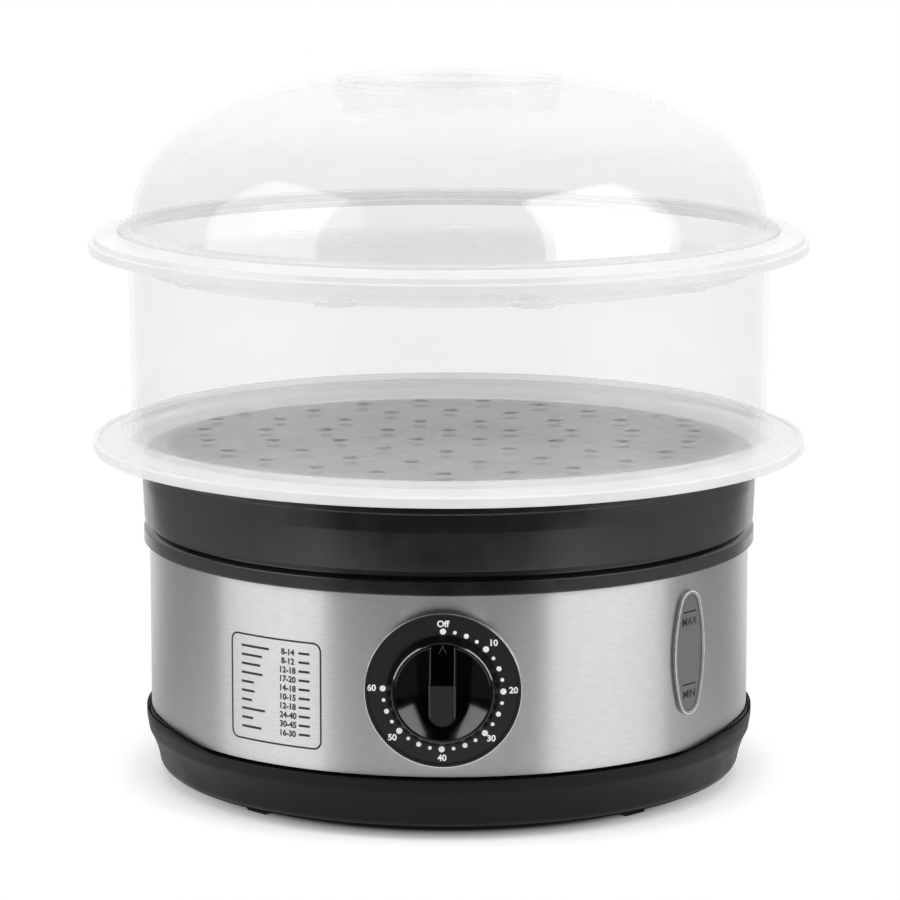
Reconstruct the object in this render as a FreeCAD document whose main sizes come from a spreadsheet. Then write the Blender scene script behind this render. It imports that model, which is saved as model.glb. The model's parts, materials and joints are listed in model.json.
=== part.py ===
import FreeCAD, Part
import Sketcher
import math
import os
import re

# Electric food steamer: a round base with a water tank, heater and clockwork timer, a drip tray,
# a deep steaming tray, a shallow steaming tray and a domed lid.
# Row frame: +Z up, the front faces -Y, the origin is on the floor under the centre.
# "Azimuth" is measured about Z from the front, towards +X.  Lengths are millimetres, angles degrees.

DRIVING_SIZES = (
    # feet and lower housing
    ("foot_rise", 4.5, "floor to the underside of the skirt"),
    ("foot_sole_half", 5.1, "half length of a foot's sole along the skirt's edge"),
    ("foot_top_half", 7.4, "half length of a foot where it meets the skirt"),
    ("foot_half_d", 4.5, "half depth of a foot across the skirt's edge"),
    ("foot_inset", 13.1, "distance of the feet inside the skirt's bottom edge"),
    ("foot_count", 4, "feet round the base"),
    ("foot_azimuth", 45, "azimuth of the first foot"),
    ("foot_peg_r", 2.4, "radius of the peg that holds a foot in the skirt"),
    ("skirt_flare", 4.9, "how far the skirt's side leans out"),
    ("toe_round", 3.9, "rounding of the bottom edge"),
    ("lip_out", 1.9, "distance of the skirt's lip outside the steel"),
    ("flare_r", 38.0, "radius of the hollow flare of the skirt's side"),
    ("brow_high", 5.0, "height of the lip's face above the flare"),
    ("brow_lean", 0.8, "how far the lip's face leans out"),
    ("skirt_high", 20.3, "height of the skirt's side"),
    ("skirt_wall", 2.5, "wall of the skirt"),
    ("skirt_floor_w", 22.6, "width of the skirt's floor ring"),
    ("lip_slope", 0.9, "rise of the lip's top towards the steel"),
    ("seat_depth", 4.0, "depth of the sleeve's seat below the lip"),
    ("seat_width", 2.6, "width of the sleeve's seat"),
    ("grip_angle", 86, "angle that each side grip covers"),
    ("grip_rise", 3.1, "height of the side grip over the lip"),
    ("grip_inner_rise", 1.1, "height of the grip's inner wall over its outer wall"),
    ("grip_wall", 0.45, "thickness of the grip's walls"),
    ("grip_taper", 24.0, "distance across the base over which a grip rises to its full height"),
    # steel sleeve and trim ring
    ("sleeve_r", 117.5, "outer radius of the steel sleeve"),
    ("sleeve_wall", 0.6, "thickness of the steel"),
    ("sleeve_show", 68.6, "height of steel in view"),
    ("fit_gap", 0.1, "clearance of a part that slips over another"),
    ("trim_out", 2.2, "distance of the trim ring's face outside the steel"),
    ("trim_high", 6.9, "height of the trim ring's face"),
    ("trim_bevel", 1.8, "bevel along the top of the trim ring"),
    ("trim_edge", 0.4, "small bevel along the bottom of the trim ring"),
    ("trim_overlap", 3.7, "length of sleeve held inside the trim ring"),
    ("collar_wall", 1.2, "wall of the trim ring's collar inside the sleeve"),
    ("collar_drop", 4.5, "length of the collar below the trim ring"),
    ("shadow_high", 2.2, "height of the groove between trim ring and tank"),
    ("shadow_deep", 2.4, "depth of that groove"),
    # water tank
    ("band_inset", 0.25, "distance of the tank band's foot inside the trim ring's face"),
    ("band_flare", 0.65, "how far the tank band leans out"),
    ("band_taper_high", 14.6, "height over which the band widens"),
    ("band_high", 25.6, "height of the tank band"),
    ("band_step_drop", 4.4, "distance of the step line below the rim"),
    ("band_step", 0.4, "depth of the step line"),
    ("band_wall", 2.2, "wall of the tank band"),
    ("band_foot_thick", 2.0, "thickness of the band's foot on the trim ring"),
    ("rim_round", 0.9, "rounding of the tank's rim"),
    ("rim_thick", 2.0, "thickness of the tank's rim"),
    ("rim_width", 7.6, "width of the tank's rim"),
    ("mouth_deep", 29.8, "depth of the mouth above the shelf"),
    ("shelf_width", 11.0, "width of the shelf between mouth and vessel"),
    ("tank_wall", 2.3, "wall of the water vessel"),
    ("tank_floor_rise", 27.0, "height of the tank floor over the skirt's floor"),
    ("bell_room", 6.4, "free depth behind the timer's bell"),
    ("notch_half_w", 42.0, "half width of the space for the timer"),
    ("notch_rise", 33.0, "height of the space for the timer over the shaft"),
    # water level window
    ("window_azimuth", 51.3, "azimuth of the window"),
    ("window_rise", 3.5, "height of the window's centre over the middle of the steel"),
    ("window_half_w", 9.2, "half width of the bezel"),
    ("window_half_h", 23.8, "half height of the bezel"),
    ("window_end_r", 6.2, "radius of the bezel's ends"),
    ("bezel_rim", 1.2, "width of the bezel's rim"),
    ("bezel_proud", 1.3, "height of the bezel over the steel"),
    ("bezel_neck", 0.6, "inset of the bezel's neck from its edge"),
    ("pane_proud", 0.7, "height of the pane over the steel"),
    ("window_recess", 2.1, "distance of the back of pane and bezel inside the steel"),
    ("gasket_thick", 1.5, "thickness of gaskets"),
    ("pocket_inset", 2.6, "distance of the water pocket's edge inside the bezel's"),
    ("pocket_wall", 2.9, "wall of the box round the pocket"),
    # heater
    ("heater_hole_r", 26.0, "hole in the tank floor"),
    ("hub_gap", 0.3, "clearance of the heater's hub in the hole"),
    ("heater_lap", 7.0, "how far the heater plate overlaps the tank floor"),
    ("heater_thick", 3.0, "thickness of the heater plate"),
    ("heater_boss_r", 14.0, "radius of the raised middle of the plate"),
    ("heater_boss_high", 2.5, "height of the raised middle"),
    ("hub_wall", 2.4, "wall of the threaded hub under the plate"),
    ("hub_drop", 6.5, "length of the hub below the tank floor"),
    ("nut_thick", 4.0, "thickness of the ring nut"),
    ("nut_lap", 6.5, "how far the ring nut overlaps the tank floor"),
    ("nut_notches", 6, "spanner notches of the ring nut"),
    ("nut_notch_half_w", 2.5, "half width of a spanner notch"),
    ("nut_notch_deep", 2.5, "depth of a spanner notch"),
    ("coil_gap", 1.7, "distance of the heating element from the hub"),
    ("coil_tube_r", 3.2, "radius of the heating element's tube"),
    ("coil_angle", 330, "angle that the heating element's loop covers"),
    ("pin_r", 1.6, "radius of the element's cold pins"),
    ("pin_drop", 9.0, "length of the cold pins"),
    ("pin_half_gap", 7.0, "half distance between the cold pins"),
    ("thermostat_r", 7.5, "radius of the thermostat"),
    ("thermostat_high", 8.0, "height of the thermostat"),
    ("tab_half_w", 2.4, "half width of a terminal tab"),
    ("tab_thick", 0.8, "thickness of a terminal tab"),
    ("tab_long", 6.0, "length of a terminal tab"),
    ("tab_x", 4.5, "distance of the thermostat's tabs from its middle"),
    ("fuse_r", 1.9, "radius of the thermal fuse"),
    ("fuse_long", 10.0, "length of the thermal fuse"),
    ("fuse_lead_r", 0.5, "radius of the fuse's leads"),
    ("fuse_lead_long", 2.5, "length of the fuse's leads"),
    ("fuse_y", 11.0, "distance of the fuse from the axis"),
    # timer
    ("dial_drop", 1.0, "distance of the dial's centre below the middle of the steel"),
    ("dial_r", 29.1, "radius of the dial plate"),
    ("dial_proud", 2.1, "height of the dial's face over the steel"),
    ("dial_rim_w", 1.2, "width of the dial's raised rim"),
    ("dial_rim_high", 0.7, "height of the dial's raised rim"),
    ("spigot_inset", 3.1, "distance of the ring behind the dial from the dial's edge"),
    ("spigot_wall", 2.5, "wall of that ring"),
    ("screw_boss_r", 3.6, "radius of the bosses for the timer's screws"),
    ("frame_recess", 7.7, "distance of the timer frame inside the steel"),
    ("frame_thick", 1.2, "thickness of the timer frame"),
    ("frame_side", 1.0, "how far the timer frame reaches past the ring at the sides"),
    ("frame_cut", 2.0, "how far the timer frame stops short of the ring at top and bottom"),
    ("case_inset", 2.0, "distance of the timer case from the frame's upper edge"),
    ("case_deep", 22.0, "depth of the timer case"),
    ("case_wall", 2.0, "wall of the timer case"),
    ("shaft_r", 3.0, "radius of the timer shaft"),
    ("running_fit", 0.05, "radial clearance of the shaft"),
    ("shaft_end_gap", 0.3, "end play of the shaft"),
    ("bush_r", 4.6, "outer radius of the shaft bush"),
    ("bush_flange_r", 7.0, "radius of the bush's flange"),
    ("bush_flange_thick", 1.6, "thickness of the bush's flange"),
    ("bush_inset", 1.0, "distance of the bush behind the dial's face"),
    ("screw_half_gap", 13.0, "half distance between the timer's screws"),
    ("screw_r", 1.5, "radius of the timer's screws"),
    ("screw_long", 11.0, "length of the timer's screws"),
    ("screw_head_r", 2.8, "head radius of the timer's screws"),
    ("screw_head_high", 1.5, "head height of the timer's screws"),
    ("gear_r", 16.5, "tip radius of the timer's main gear"),
    ("gear_teeth", 36, "teeth of the main gear"),
    ("gear_tooth_deep", 1.5, "depth of the teeth"),
    ("gear_gap_half_w", 0.6, "half width of the space between two teeth"),
    ("gear_thick", 2.0, "thickness of the main gear"),
    ("gear_back", 14.0, "distance of the main gear in front of the case's back"),
    ("cam_r", 10.8, "radius of the switch cam"),
    ("cam_thick", 5.0, "thickness of the switch cam"),
    ("cam_back", 5.5, "distance of the cam in front of the case's back"),
    ("cam_notch_deep", 2.0, "depth of the cam's off notch"),
    ("cam_notch_half_w", 2.0, "half width of the cam's off notch"),
    ("blade_gap", 0.6, "distance of the contact blade from the cam"),
    ("blade_thick", 0.5, "thickness of the contact blades"),
    ("blade_half_w", 2.0, "half width of the contact blades"),
    ("blade_pitch", 3.2, "distance between the contact blades"),
    ("blade_top", 12.0, "height of the blades over the shaft"),
    ("contact_r", 1.3, "radius of the contact rivets"),
    ("bell_r", 17.0, "radius of the bell"),
    ("bell_deep", 9.0, "depth of the bell"),
    ("bell_wall", 0.8, "thickness of the bell"),
    ("bell_crown_r", 12.0, "radius of the bell's flat back"),
    ("bell_gap", 1.8, "distance of the bell from the case"),
    ("stud_r", 2.0, "radius of the bell's stud"),
    ("stud_shoulder_r", 3.0, "radius of the stud's shoulder"),
    ("stud_head_r", 3.6, "radius of the stud's head"),
    ("stud_head_high", 1.6, "height of the stud's head"),
    # knob
    ("knob_gap", 0.6, "distance of the knob from the dial"),
    ("knob_r", 20.7, "radius of the knob at its base"),
    ("knob_draft", 1.7, "draft of the knob's side"),
    ("knob_rim_high", 4.4, "height of the knob's rim"),
    ("knob_rim_w", 0.8, "width of the knob's rim"),
    ("knob_rim_bevel", 0.5, "bevel of the knob's rim"),
    ("knob_dish_deep", 3.0, "depth of the knob's hollow face"),
    ("knob_bar_half_w", 5.0, "half width of the finger bar"),
    ("knob_bar_bevel", 0.6, "bevel along the finger bar"),
    ("knob_bar_high", 16.4, "height of the finger bar's ridge"),
    ("knob_bar_low", 10.2, "length of the bar below the shaft"),
    ("knob_ridge_z", 5.7, "height of the bar's ridge above the shaft"),
    ("knob_bar_fall", 11.6, "fall of the bar's face from the ridge to the rim"),
    ("knob_bar_dip", 2.2, "fall of the bar's face from the ridge to its lower end"),
    ("shaft_in_knob", 8.0, "length of shaft inside the knob"),
    # drip tray
    ("drip_skin", 2.0, "wall of the drip tray"),
    ("drip_flange_w", 13.0, "width of the drip tray's flange outside the cup"),
    ("lip_band", 3.9, "height of the flange's outer lip"),
    ("lip_step", 0.9, "height of the step inside the lip"),
    ("lip_width", 1.9, "width of the lip outside the step"),
    ("lip_bevel", 0.4, "bevel of the lip's edges"),
    ("drip_lip_rise", 1.7, "height of the lip's bottom over the tank's rim"),
    ("drip_crest_rise", 9.7, "height of the flange's crest over the tank's rim"),
    ("cup_gap", 2.0, "clearance of the deep tray in the drip tray's cup"),
    ("drip_seat_rise", 2.2, "height of the deep tray's seat over the tank's rim"),
    ("well_gap", 0.7, "clearance of the drip tray's well in the tank's mouth"),
    ("well_deep", 17.0, "depth of the well below the tank's rim"),
    ("chimney_r", 27.0, "outer radius of the steam chimney"),
    ("chimney_high", 13.0, "height of the chimney over the well's floor"),
    # deep tray
    ("deep_wall", 2.2, "wall of the deep tray"),
    ("deep_over", 3.9, "distance of the deep tray's wall outside the tank band"),
    ("deep_draft", 0.8, "draft of the deep tray's wall"),
    ("deep_floor_rise", 2.4, "height of the deep tray's floor over its seat"),
    ("deep_flange_w", 11.2, "width of the deep tray's flange outside the nest"),
    ("deep_lip_rise", 77.3, "height of the flange lip's bottom over the seat"),
    ("deep_lip_band", 2.6, "height of the flange's outer edge"),
    ("deep_lip_round", 0.9, "rounding of the flange's outer edge"),
    ("deep_ledge_w", 1.1, "width of the narrow ledge inside the edge"),
    ("deep_ledge_high", 1.9, "height of the step inside the ledge"),
    ("deep_crest_rise", 84.7, "height of the flange's crest over the seat"),
    ("deep_flange_drop", 4.3, "depth of the flange's underside below the crest"),
    ("nest_width", 4.0, "width of the nest for the shallow tray and lid"),
    ("nest_drop", 2.8, "depth of the nest below the crest"),
    ("nest_gap", 0.4, "clearance of the rims in the nest"),
    ("hole_r", 3.0, "radius of the steam holes in the trays"),
    ("hole_pitch", 24.0, "distance between the rings of steam holes"),
    ("hole_count_step", 6, "holes added with each ring"),
    ("deep_hole_rings", 4, "rings of steam holes in the deep tray"),
    ("shallow_hole_rings", 3, "rings of steam holes in the shallow tray"),
    # shallow tray
    ("shallow_wall", 1.8, "wall of the shallow tray"),
    ("shallow_rim_w", 8.2, "width of the shallow tray's rim"),
    ("shallow_draft", 2.2, "draft of the shallow tray's wall"),
    ("shallow_deep", 12.2, "depth of the shallow tray below its seat"),
    ("egg_cup_r", 8.0, "radius of the egg dimples"),
    ("egg_cup_deep", 1.8, "depth of the egg dimples"),
    ("egg_inset", 12.0, "distance of the egg dimples inside the floor's edge"),
    ("egg_count", 9, "egg dimples"),
    ("egg_azimuth", 18, "azimuth of the first egg dimple"),
    # lid
    ("lid_skin", 2.0, "wall of the lid"),
    ("lid_rim_thick", 2.0, "thickness of the lid's rim"),
    ("lid_corner_r", 43.6, "radius of the dome above the wall"),
    ("corner_inset", 26.1, "distance of the joint of corner and shoulder inside the rim"),
    ("lid_shoulder_r", 115.0, "radius of the dome's shoulder"),
    ("crown_inset", 54.2, "distance of the joint of shoulder and crown inside the rim"),
    ("lid_crown_r", 270.3, "radius of the dome's crown"),
    ("dish_r", 46.0, "radius of the recess for the hand"),
    ("lid_wall_rise", 2.9, "height of the dome's widest ring over the lid's seat"),
    ("dish_deep", 11.0, "depth of the recess"),
    ("dish_draft", 5.0, "draft of the recess's wall"),
    ("grip_half_w", 8.0, "half width of the lid's grip"),
    ("grip_drop", 0.8, "distance of the grip below the recess's edge"),
    ("steam_hole_r", 3.5, "radius of the lid's steam hole"),
    ("steam_hole_x", 81.0, "distance of the steam hole from the axis"),
    # steam diffuser
    ("diffuser_gap", 3.5, "distance of the diffuser from the heater plate"),
    ("diffuser_wall", 2.0, "wall of the steam diffuser"),
    ("diffuser_high", 40.0, "height of the steam diffuser"),
    ("diffuser_foot_w", 5.5, "width of the diffuser's foot"),
    ("inlet_half_w", 6.0, "half width of the diffuser's water inlets"),
    ("inlet_high", 8.0, "height of the water inlets"),
    ("inlet_count", 4, "water inlets"),
    # bottom cover, posts, screws and wiring parts
    ("cover_thick", 1.8, "thickness of the bottom cover"),
    ("cover_gap", 0.5, "clearance of the cover inside the skirt's floor ring"),
    ("cover_flange_w", 15.0, "how far the cover's flange laps the skirt's floor"),
    ("slot_half_w", 1.5, "half width of the cover's air slots"),
    ("slot_long", 26.0, "length of the cover's air slots"),
    ("slot_ring_r", 20.0, "distance of the slots' inner ends from the axis"),
    ("slot_count", 16, "air slots of the bottom cover"),
    ("post_inset", 5.5, "distance of the screw posts inside the vessel's wall"),
    ("post_r", 4.5, "radius of a screw post"),
    ("post_angle", 30, "angle of the screw posts from the sides"),
    ("base_screw_r", 2.0, "radius of the base screws"),
    ("base_screw_head_r", 3.8, "head radius of the base screws"),
    ("base_screw_head_high", 2.0, "head height of the base screws"),
    ("base_screw_long", 15.0, "length of the base screws"),
    ("gland_z", 13.2, "height of the cord gland"),
    ("gland_bore_r", 3.5, "radius of the gland's bore"),
    ("gland_r", 5.4, "radius of the gland's body"),
    ("gland_flange_r", 7.4, "radius of the gland's flange"),
    ("gland_flange_thick", 2.4, "thickness of the gland's flange"),
    ("gland_spot_deep", 0.1, "depth of the flat under the gland's flange"),
    ("gland_long", 6.4, "length of the gland's body"),
    ("block_half_w", 15.0, "half width of the terminal block"),
    ("block_half_d", 7.0, "half depth of the terminal block"),
    ("block_high", 13.0, "height of the terminal block"),
    ("block_inset", 22.0, "distance of the terminal block inside the skirt's floor ring"),
    ("block_screw_r", 2.2, "radius of the terminal screws"),
    ("block_screw_high", 1.2, "height of the terminal screws"),
    ("block_poles", 3, "poles of the terminal block"),
    ("block_pitch", 9.0, "distance between the poles"),
)

# Places that follow from the driving sizes, each from those before it.
DERIVED_SIZES = (
    # lower housing
    ("lip_r", "sleeve_r + lip_out"),
    ("toe_out_r", "lip_r - skirt_flare"),
    ("toe_r", "toe_out_r - toe_round"),
    ("foot_ring_r", "toe_r - foot_inset"),
    ("skirt_floor_in_r", "toe_r - skirt_floor_w"),
    ("skirt_in_r", "toe_out_r - skirt_wall"),
    ("skirt_floor", "foot_rise + skirt_wall"),
    ("lip_top", "foot_rise + skirt_high"),
    ("grip_top", "lip_top + grip_rise"),
    ("cover_flange_r", "skirt_floor_in_r + cover_flange_w"),
    ("cover_top", "foot_rise + cover_thick"),
    ("block_y", "skirt_floor_in_r - block_inset"),
    ("post_bottom", "skirt_floor + cover_thick"),
    ("gland_spot_y", "toe_out_r - gland_spot_deep"),
    ("gland_inner_y", "gland_spot_y - gland_long"),
    # steel sleeve and trim ring
    ("sleeve_bottom", "lip_top - seat_depth"),
    ("sleeve_in_r", "sleeve_r - sleeve_wall"),
    ("sleeve_clear_r", "sleeve_r + fit_gap"),
    ("sleeve_middle", "lip_top + lip_slope + sleeve_show / 2"),
    ("trim_bottom", "lip_top + lip_slope + sleeve_show"),
    ("sleeve_top", "trim_bottom + trim_overlap"),
    ("trim_top", "trim_bottom + trim_high"),
    ("trim_r", "sleeve_r + trim_out"),
    ("collar_out_r", "sleeve_in_r - fit_gap"),
    ("collar_in_r", "collar_out_r - collar_wall"),
    # water tank
    ("band_foot", "trim_top + shadow_high"),
    ("band_low_r", "trim_r - band_inset"),
    ("band_high_r", "band_low_r + band_flare"),
    ("band_in_r", "band_high_r - band_wall"),
    ("tank_rim", "band_foot + band_high"),
    ("mouth_r", "band_high_r - rim_width"),
    ("mouth_out_r", "mouth_r + tank_wall"),
    ("shelf_top", "tank_rim - mouth_deep"),
    ("vessel_r", "mouth_r - shelf_width"),
    ("vessel_out_r", "vessel_r + tank_wall"),
    ("tank_floor_z", "skirt_floor + tank_floor_rise"),
    ("tank_floor_top", "tank_floor_z + tank_wall"),
    ("post_ring_r", "vessel_r - post_inset"),
    ("post_x", "post_ring_r * cos(post_angle * 1 deg)"),
    ("post_y", "post_ring_r * sin(post_angle * 1 deg)"),
    # heater and diffuser
    ("heater_z", "tank_floor_top + gasket_thick"),
    ("heater_r", "heater_hole_r + heater_lap"),
    ("nut_r", "heater_hole_r + nut_lap"),
    ("hub_r", "heater_hole_r - hub_gap"),
    ("hub_in_r", "hub_r - hub_wall"),
    ("coil_r", "hub_in_r - coil_gap - coil_tube_r"),
    ("diffuser_r", "heater_r + diffuser_gap + diffuser_wall"),
    ("diffuser_foot_r", "diffuser_r + diffuser_foot_w"),
    # window
    ("window_z", "sleeve_middle + window_rise"),
    ("window_back", "sleeve_r - window_recess"),
    ("window_clear", "window_back - gasket_thick"),
    # timer
    ("dial_z", "sleeve_middle - dial_drop"),
    ("dial_front", "sleeve_r + dial_proud"),
    ("spigot_r", "dial_r - spigot_inset"),
    ("frame_front", "sleeve_r - frame_recess"),
    ("frame_back", "frame_front - frame_thick"),
    ("frame_half_w", "spigot_r + frame_side"),
    ("frame_half_h", "spigot_r - frame_cut"),
    ("case_half", "frame_half_h - case_inset"),
    ("case_back", "frame_back - case_deep"),
    ("notch_y", "case_back - bell_gap - bell_deep - stud_head_high - bell_room - tank_wall"),
    ("notch_top", "dial_z + notch_rise"),
    ("shaft_bore_r", "shaft_r + running_fit"),
    ("shaft_back", "case_back + shaft_end_gap"),
    ("knob_back", "dial_front + knob_gap"),
    ("knob_rim", "knob_back + knob_rim_high"),
    ("knob_top_r", "knob_r - knob_draft"),
    ("knob_edge_r", "knob_top_r - knob_rim_bevel"),
    ("knob_dish_r", "knob_edge_r - knob_rim_w"),
    ("knob_dish_bow", "(knob_dish_r ^ 2 + knob_dish_deep ^ 2) / (2 * knob_dish_deep)"),
    # trays
    ("deep_low_r", "band_high_r + deep_over"),
    ("deep_high_r", "deep_low_r + deep_draft"),
    ("nest_r", "deep_high_r + nest_width"),
    ("deep_flange_r", "nest_r + deep_flange_w"),
    ("drip_cup_r", "deep_low_r + cup_gap"),
    ("drip_cup_out_r", "drip_cup_r + drip_skin"),
    ("drip_flange_r", "drip_cup_r + drip_flange_w"),
    ("drip_seat", "tank_rim + drip_seat_rise"),
    ("drip_lip", "tank_rim + drip_lip_rise"),
    ("drip_lip_top", "drip_lip + lip_band"),
    ("drip_crest", "tank_rim + drip_crest_rise"),
    ("well_r", "mouth_r - well_gap"),
    ("well_in_r", "well_r - drip_skin"),
    ("well_floor", "tank_rim - well_deep"),
    ("deep_floor", "drip_seat + deep_floor_rise"),
    ("deep_lip", "drip_seat + deep_lip_rise"),
    ("deep_ledge", "deep_lip + deep_lip_band + deep_lip_round"),
    ("deep_crest", "drip_seat + deep_crest_rise"),
    ("deep_under", "deep_crest - deep_flange_drop"),
    ("nest_z", "deep_crest - nest_drop"),
    ("rim_r", "nest_r - nest_gap"),
    ("shallow_high_r", "rim_r - shallow_rim_w"),
    ("shallow_low_r", "shallow_high_r - shallow_draft"),
    ("shallow_floor", "nest_z - shallow_deep"),
    ("egg_ring_r", "shallow_low_r - egg_inset"),
    ("lid_seat", "nest_z + shallow_wall"),
    # the dome's three arcs, each tangent to the next, from the wall up to the recess
    ("corner_join_r", "rim_r - corner_inset"),
    ("crown_join_r", "rim_r - crown_inset"),
    ("crown_lean", "crown_join_r / lid_crown_r"),
    ("crown_lift", "sqrt(1 - crown_lean ^ 2)"),
    ("shoulder_x", "crown_join_r - lid_shoulder_r * crown_lean"),
    ("corner_lean", "(corner_join_r - shoulder_x) / lid_shoulder_r"),
    ("corner_lift", "sqrt(1 - corner_lean ^ 2)"),
    ("lid_wall_r", "corner_join_r + lid_corner_r * (1 - corner_lean)"),
    ("corner_z", "lid_seat + lid_wall_rise"),
    ("corner_join_z", "corner_z + lid_corner_r * corner_lift"),
    ("crown_join_z", "corner_join_z + lid_shoulder_r * (crown_lift - corner_lift)"),
    ("crown_z", "crown_join_z - lid_crown_r * crown_lift"),
    ("dish_edge", "crown_z + sqrt(lid_crown_r ^ 2 - dish_r ^ 2)"),
    ("dish_floor", "dish_edge - dish_deep"),
)

TOLERANCE = 1e-3

document = FreeCAD.newDocument("food_steamer")
sheet = document.addObject("Spreadsheet::Sheet", "Sizes")
derived = document.addObject("App::VarSet", "Derived")
owners = {}


def full(part):
    """Expression with each size named by its owner, the sheet or the set of derived values."""
    def owned(match):
        word = match.group(0)
        return owners[word] + "." + word if word in owners else word
    return re.sub(r"[a-z_]+", owned, str(part))


def value(part):
    """Number that an expression gives now."""
    return float(sheet.evalExpression(full(part)))


def bind(item, path, part):
    item.setExpression(path, full(part))


def fill_sheet():
    for row, (alias, number, note) in enumerate(DRIVING_SIZES, start=1):
        sheet.set("A%d" % row, note)
        sheet.set("B%d" % row, str(number))
        sheet.setAlias("B%d" % row, alias)
        owners[alias] = "Sizes"
    document.recompute()
    for name, rule in DERIVED_SIZES:
        derived.addProperty("App::PropertyFloat", name)
        setattr(derived, name, value(rule))
        bind(derived, name, rule)
        owners[name] = "Derived"
    document.recompute()


# ---------------------------------------------------------------- sketches and features

def new_body(label):
    body = document.addObject("PartDesign::Body", label)
    body.Label = label
    body.AllowCompound = True
    return body


def origin_feature(body, role):
    for item in body.Origin.OriginFeatures:
        if item.Role == role:
            return item
    raise RuntimeError("no origin feature " + role)


def new_sketch(body, role, outlines, lift=0, turn=0):
    """Sketch of closed outlines on an origin plane, turned about Z and lifted along its normal."""
    sketch = body.newObject("Sketcher::SketchObject", body.Label + "_sketch")
    sketch.AttachmentSupport = [(origin_feature(body, role), "")]
    sketch.MapMode = "FlatFace"
    across = "(%s) * sin(%s * 1 deg)" % (lift, turn)
    along = "(%s) * cos(%s * 1 deg)" % (lift, turn)
    sketch.AttachmentOffset = FreeCAD.Placement(
        FreeCAD.Vector(value(across), 0, value(along)),
        FreeCAD.Rotation(FreeCAD.Vector(0, 1, 0), value(turn)))
    if lift:
        bind(sketch, "AttachmentOffset.Base.z", along)
    if turn:
        bind(sketch, "AttachmentOffset.Base.x", across)
        bind(sketch, "AttachmentOffset.Rotation.Angle", turn)
    for outline in outlines:
        if outline[0] == "circle":
            add_circle(sketch, *outline[1:])
        else:
            add_outline(sketch, outline)
    return sketch


def pin_down(sketch, kind, places, part):
    """Add one driving dimension and bind it to its expression."""
    index = sketch.addConstraint(Sketcher.Constraint(kind, *places, value(part)))
    if part != 0:
        bind(sketch, "Constraints[%d]" % index, part)


def add_circle(sketch, across, up, radius):
    centre = FreeCAD.Vector(value(across), value(up), 0)
    circle = Part.Circle(centre, FreeCAD.Vector(0, 0, 1), value(radius))
    index = sketch.addGeometry(circle)
    pin_down(sketch, "DistanceX", (-1, 1, index, 3), across)
    pin_down(sketch, "DistanceY", (-1, 1, index, 3), up)
    pin_down(sketch, "Radius", (index,), radius)


def arc_edge(start, end, radius):
    """Short arc from start to end; its centre lies left of the way if the radius is positive."""
    chord = end - start
    rise = math.sqrt(radius ** 2 - (chord.Length / 2) ** 2)
    left = FreeCAD.Vector(-chord.y, chord.x, 0).normalize()
    centre = (start + end) * 0.5 + left * math.copysign(rise, radius)
    first, last = (start, end) if radius > 0 else (end, start)
    angles = [math.atan2(point.y - centre.y, point.x - centre.x) for point in (first, last)]
    circle = Part.Circle(centre, FreeCAD.Vector(0, 0, 1), abs(radius))
    return Part.ArcOfCircle(circle, *angles)


def add_outline(sketch, outline):
    """Closed outline of (across, up) points; a third entry makes the next edge an arc."""
    points = [FreeCAD.Vector(value(spot[0]), value(spot[1]), 0) for spot in outline]
    edges = []
    for index, spot in enumerate(outline):
        start = points[index]
        end = points[(index + 1) % len(points)]
        if len(spot) == 3:
            radius = value(spot[2])
            edge = sketch.addGeometry(arc_edge(start, end, radius))
            pin_down(sketch, "Radius", (edge,), "abs(%s)" % spot[2])
            edges.append((edge, 1, 2) if radius > 0 else (edge, 2, 1))
        else:
            edges.append((sketch.addGeometry(Part.LineSegment(start, end)), 1, 2))
    for index, (edge, head, tail) in enumerate(edges):
        other, other_head, _ = edges[(index + 1) % len(edges)]
        sketch.addConstraint(Sketcher.Constraint("Coincident", edge, tail, other, other_head))
        pin_down(sketch, "DistanceX", (-1, 1, edge, head), outline[index][0])
        pin_down(sketch, "DistanceY", (-1, 1, edge, head), outline[index][1])


def new_feature(body, kind, sketch):
    item = body.newObject("PartDesign::" + kind, body.Label + "_" + kind.lower())
    item.Profile = sketch
    return item


def pad(body, sketch, length, both_ways=False):
    """Add a prism along the sketch's normal, or half of it each way."""
    item = new_feature(body, "Pad", sketch)
    item.Length = value(length)
    bind(item, "Length", length)
    if both_ways:
        item.SideType = "Symmetric"
    body.Tip = item
    return item


def pocket(body, sketch, length, way="along"):
    """Cut a prism along the sketch's normal, against it, or half of it each way."""
    item = new_feature(body, "Pocket", sketch)
    item.Length = value(length)
    bind(item, "Length", length)
    item.Reversed = way == "along"
    if way == "both":
        item.SideType = "Symmetric"
    body.Tip = item
    return item


def turned(body, kind, sketch, axis="V_Axis", angle=360):
    """Revolution or Groove about a sketch axis; a part turn lies evenly about the sketch."""
    item = new_feature(body, kind, sketch)
    item.ReferenceAxis = (sketch, [axis])
    item.Angle = value(angle)
    if angle != 360:
        item.Midplane = True
        bind(item, "Angle", angle)
    body.Tip = item
    return item


def ring(body, outline, axis="V_Axis"):
    """Solid of revolution about Z from one outline of (radius, height) points."""
    return turned(body, "Revolution", new_sketch(body, "XZ_Plane", [outline]), axis)


def barrel(body, outline):
    """Solid of revolution about Y from (distance behind the front, radius) points."""
    return turned(body, "Revolution", new_sketch(body, "YZ_Plane", [outline]), "H_Axis")


def polar(body, items, count, axis="Z_Axis"):
    """Repeat features evenly about one of the body's own axes."""
    document.recompute()
    pattern = body.newObject("PartDesign::PolarPattern", body.Label + "_pattern")
    pattern.Originals = items
    pattern.Axis = (origin_feature(body, axis), [""])
    pattern.Angle = 360
    pattern.Occurrences = int(value(count))
    bind(pattern, "Occurrences", count)
    body.Tip = pattern
    return pattern


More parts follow.
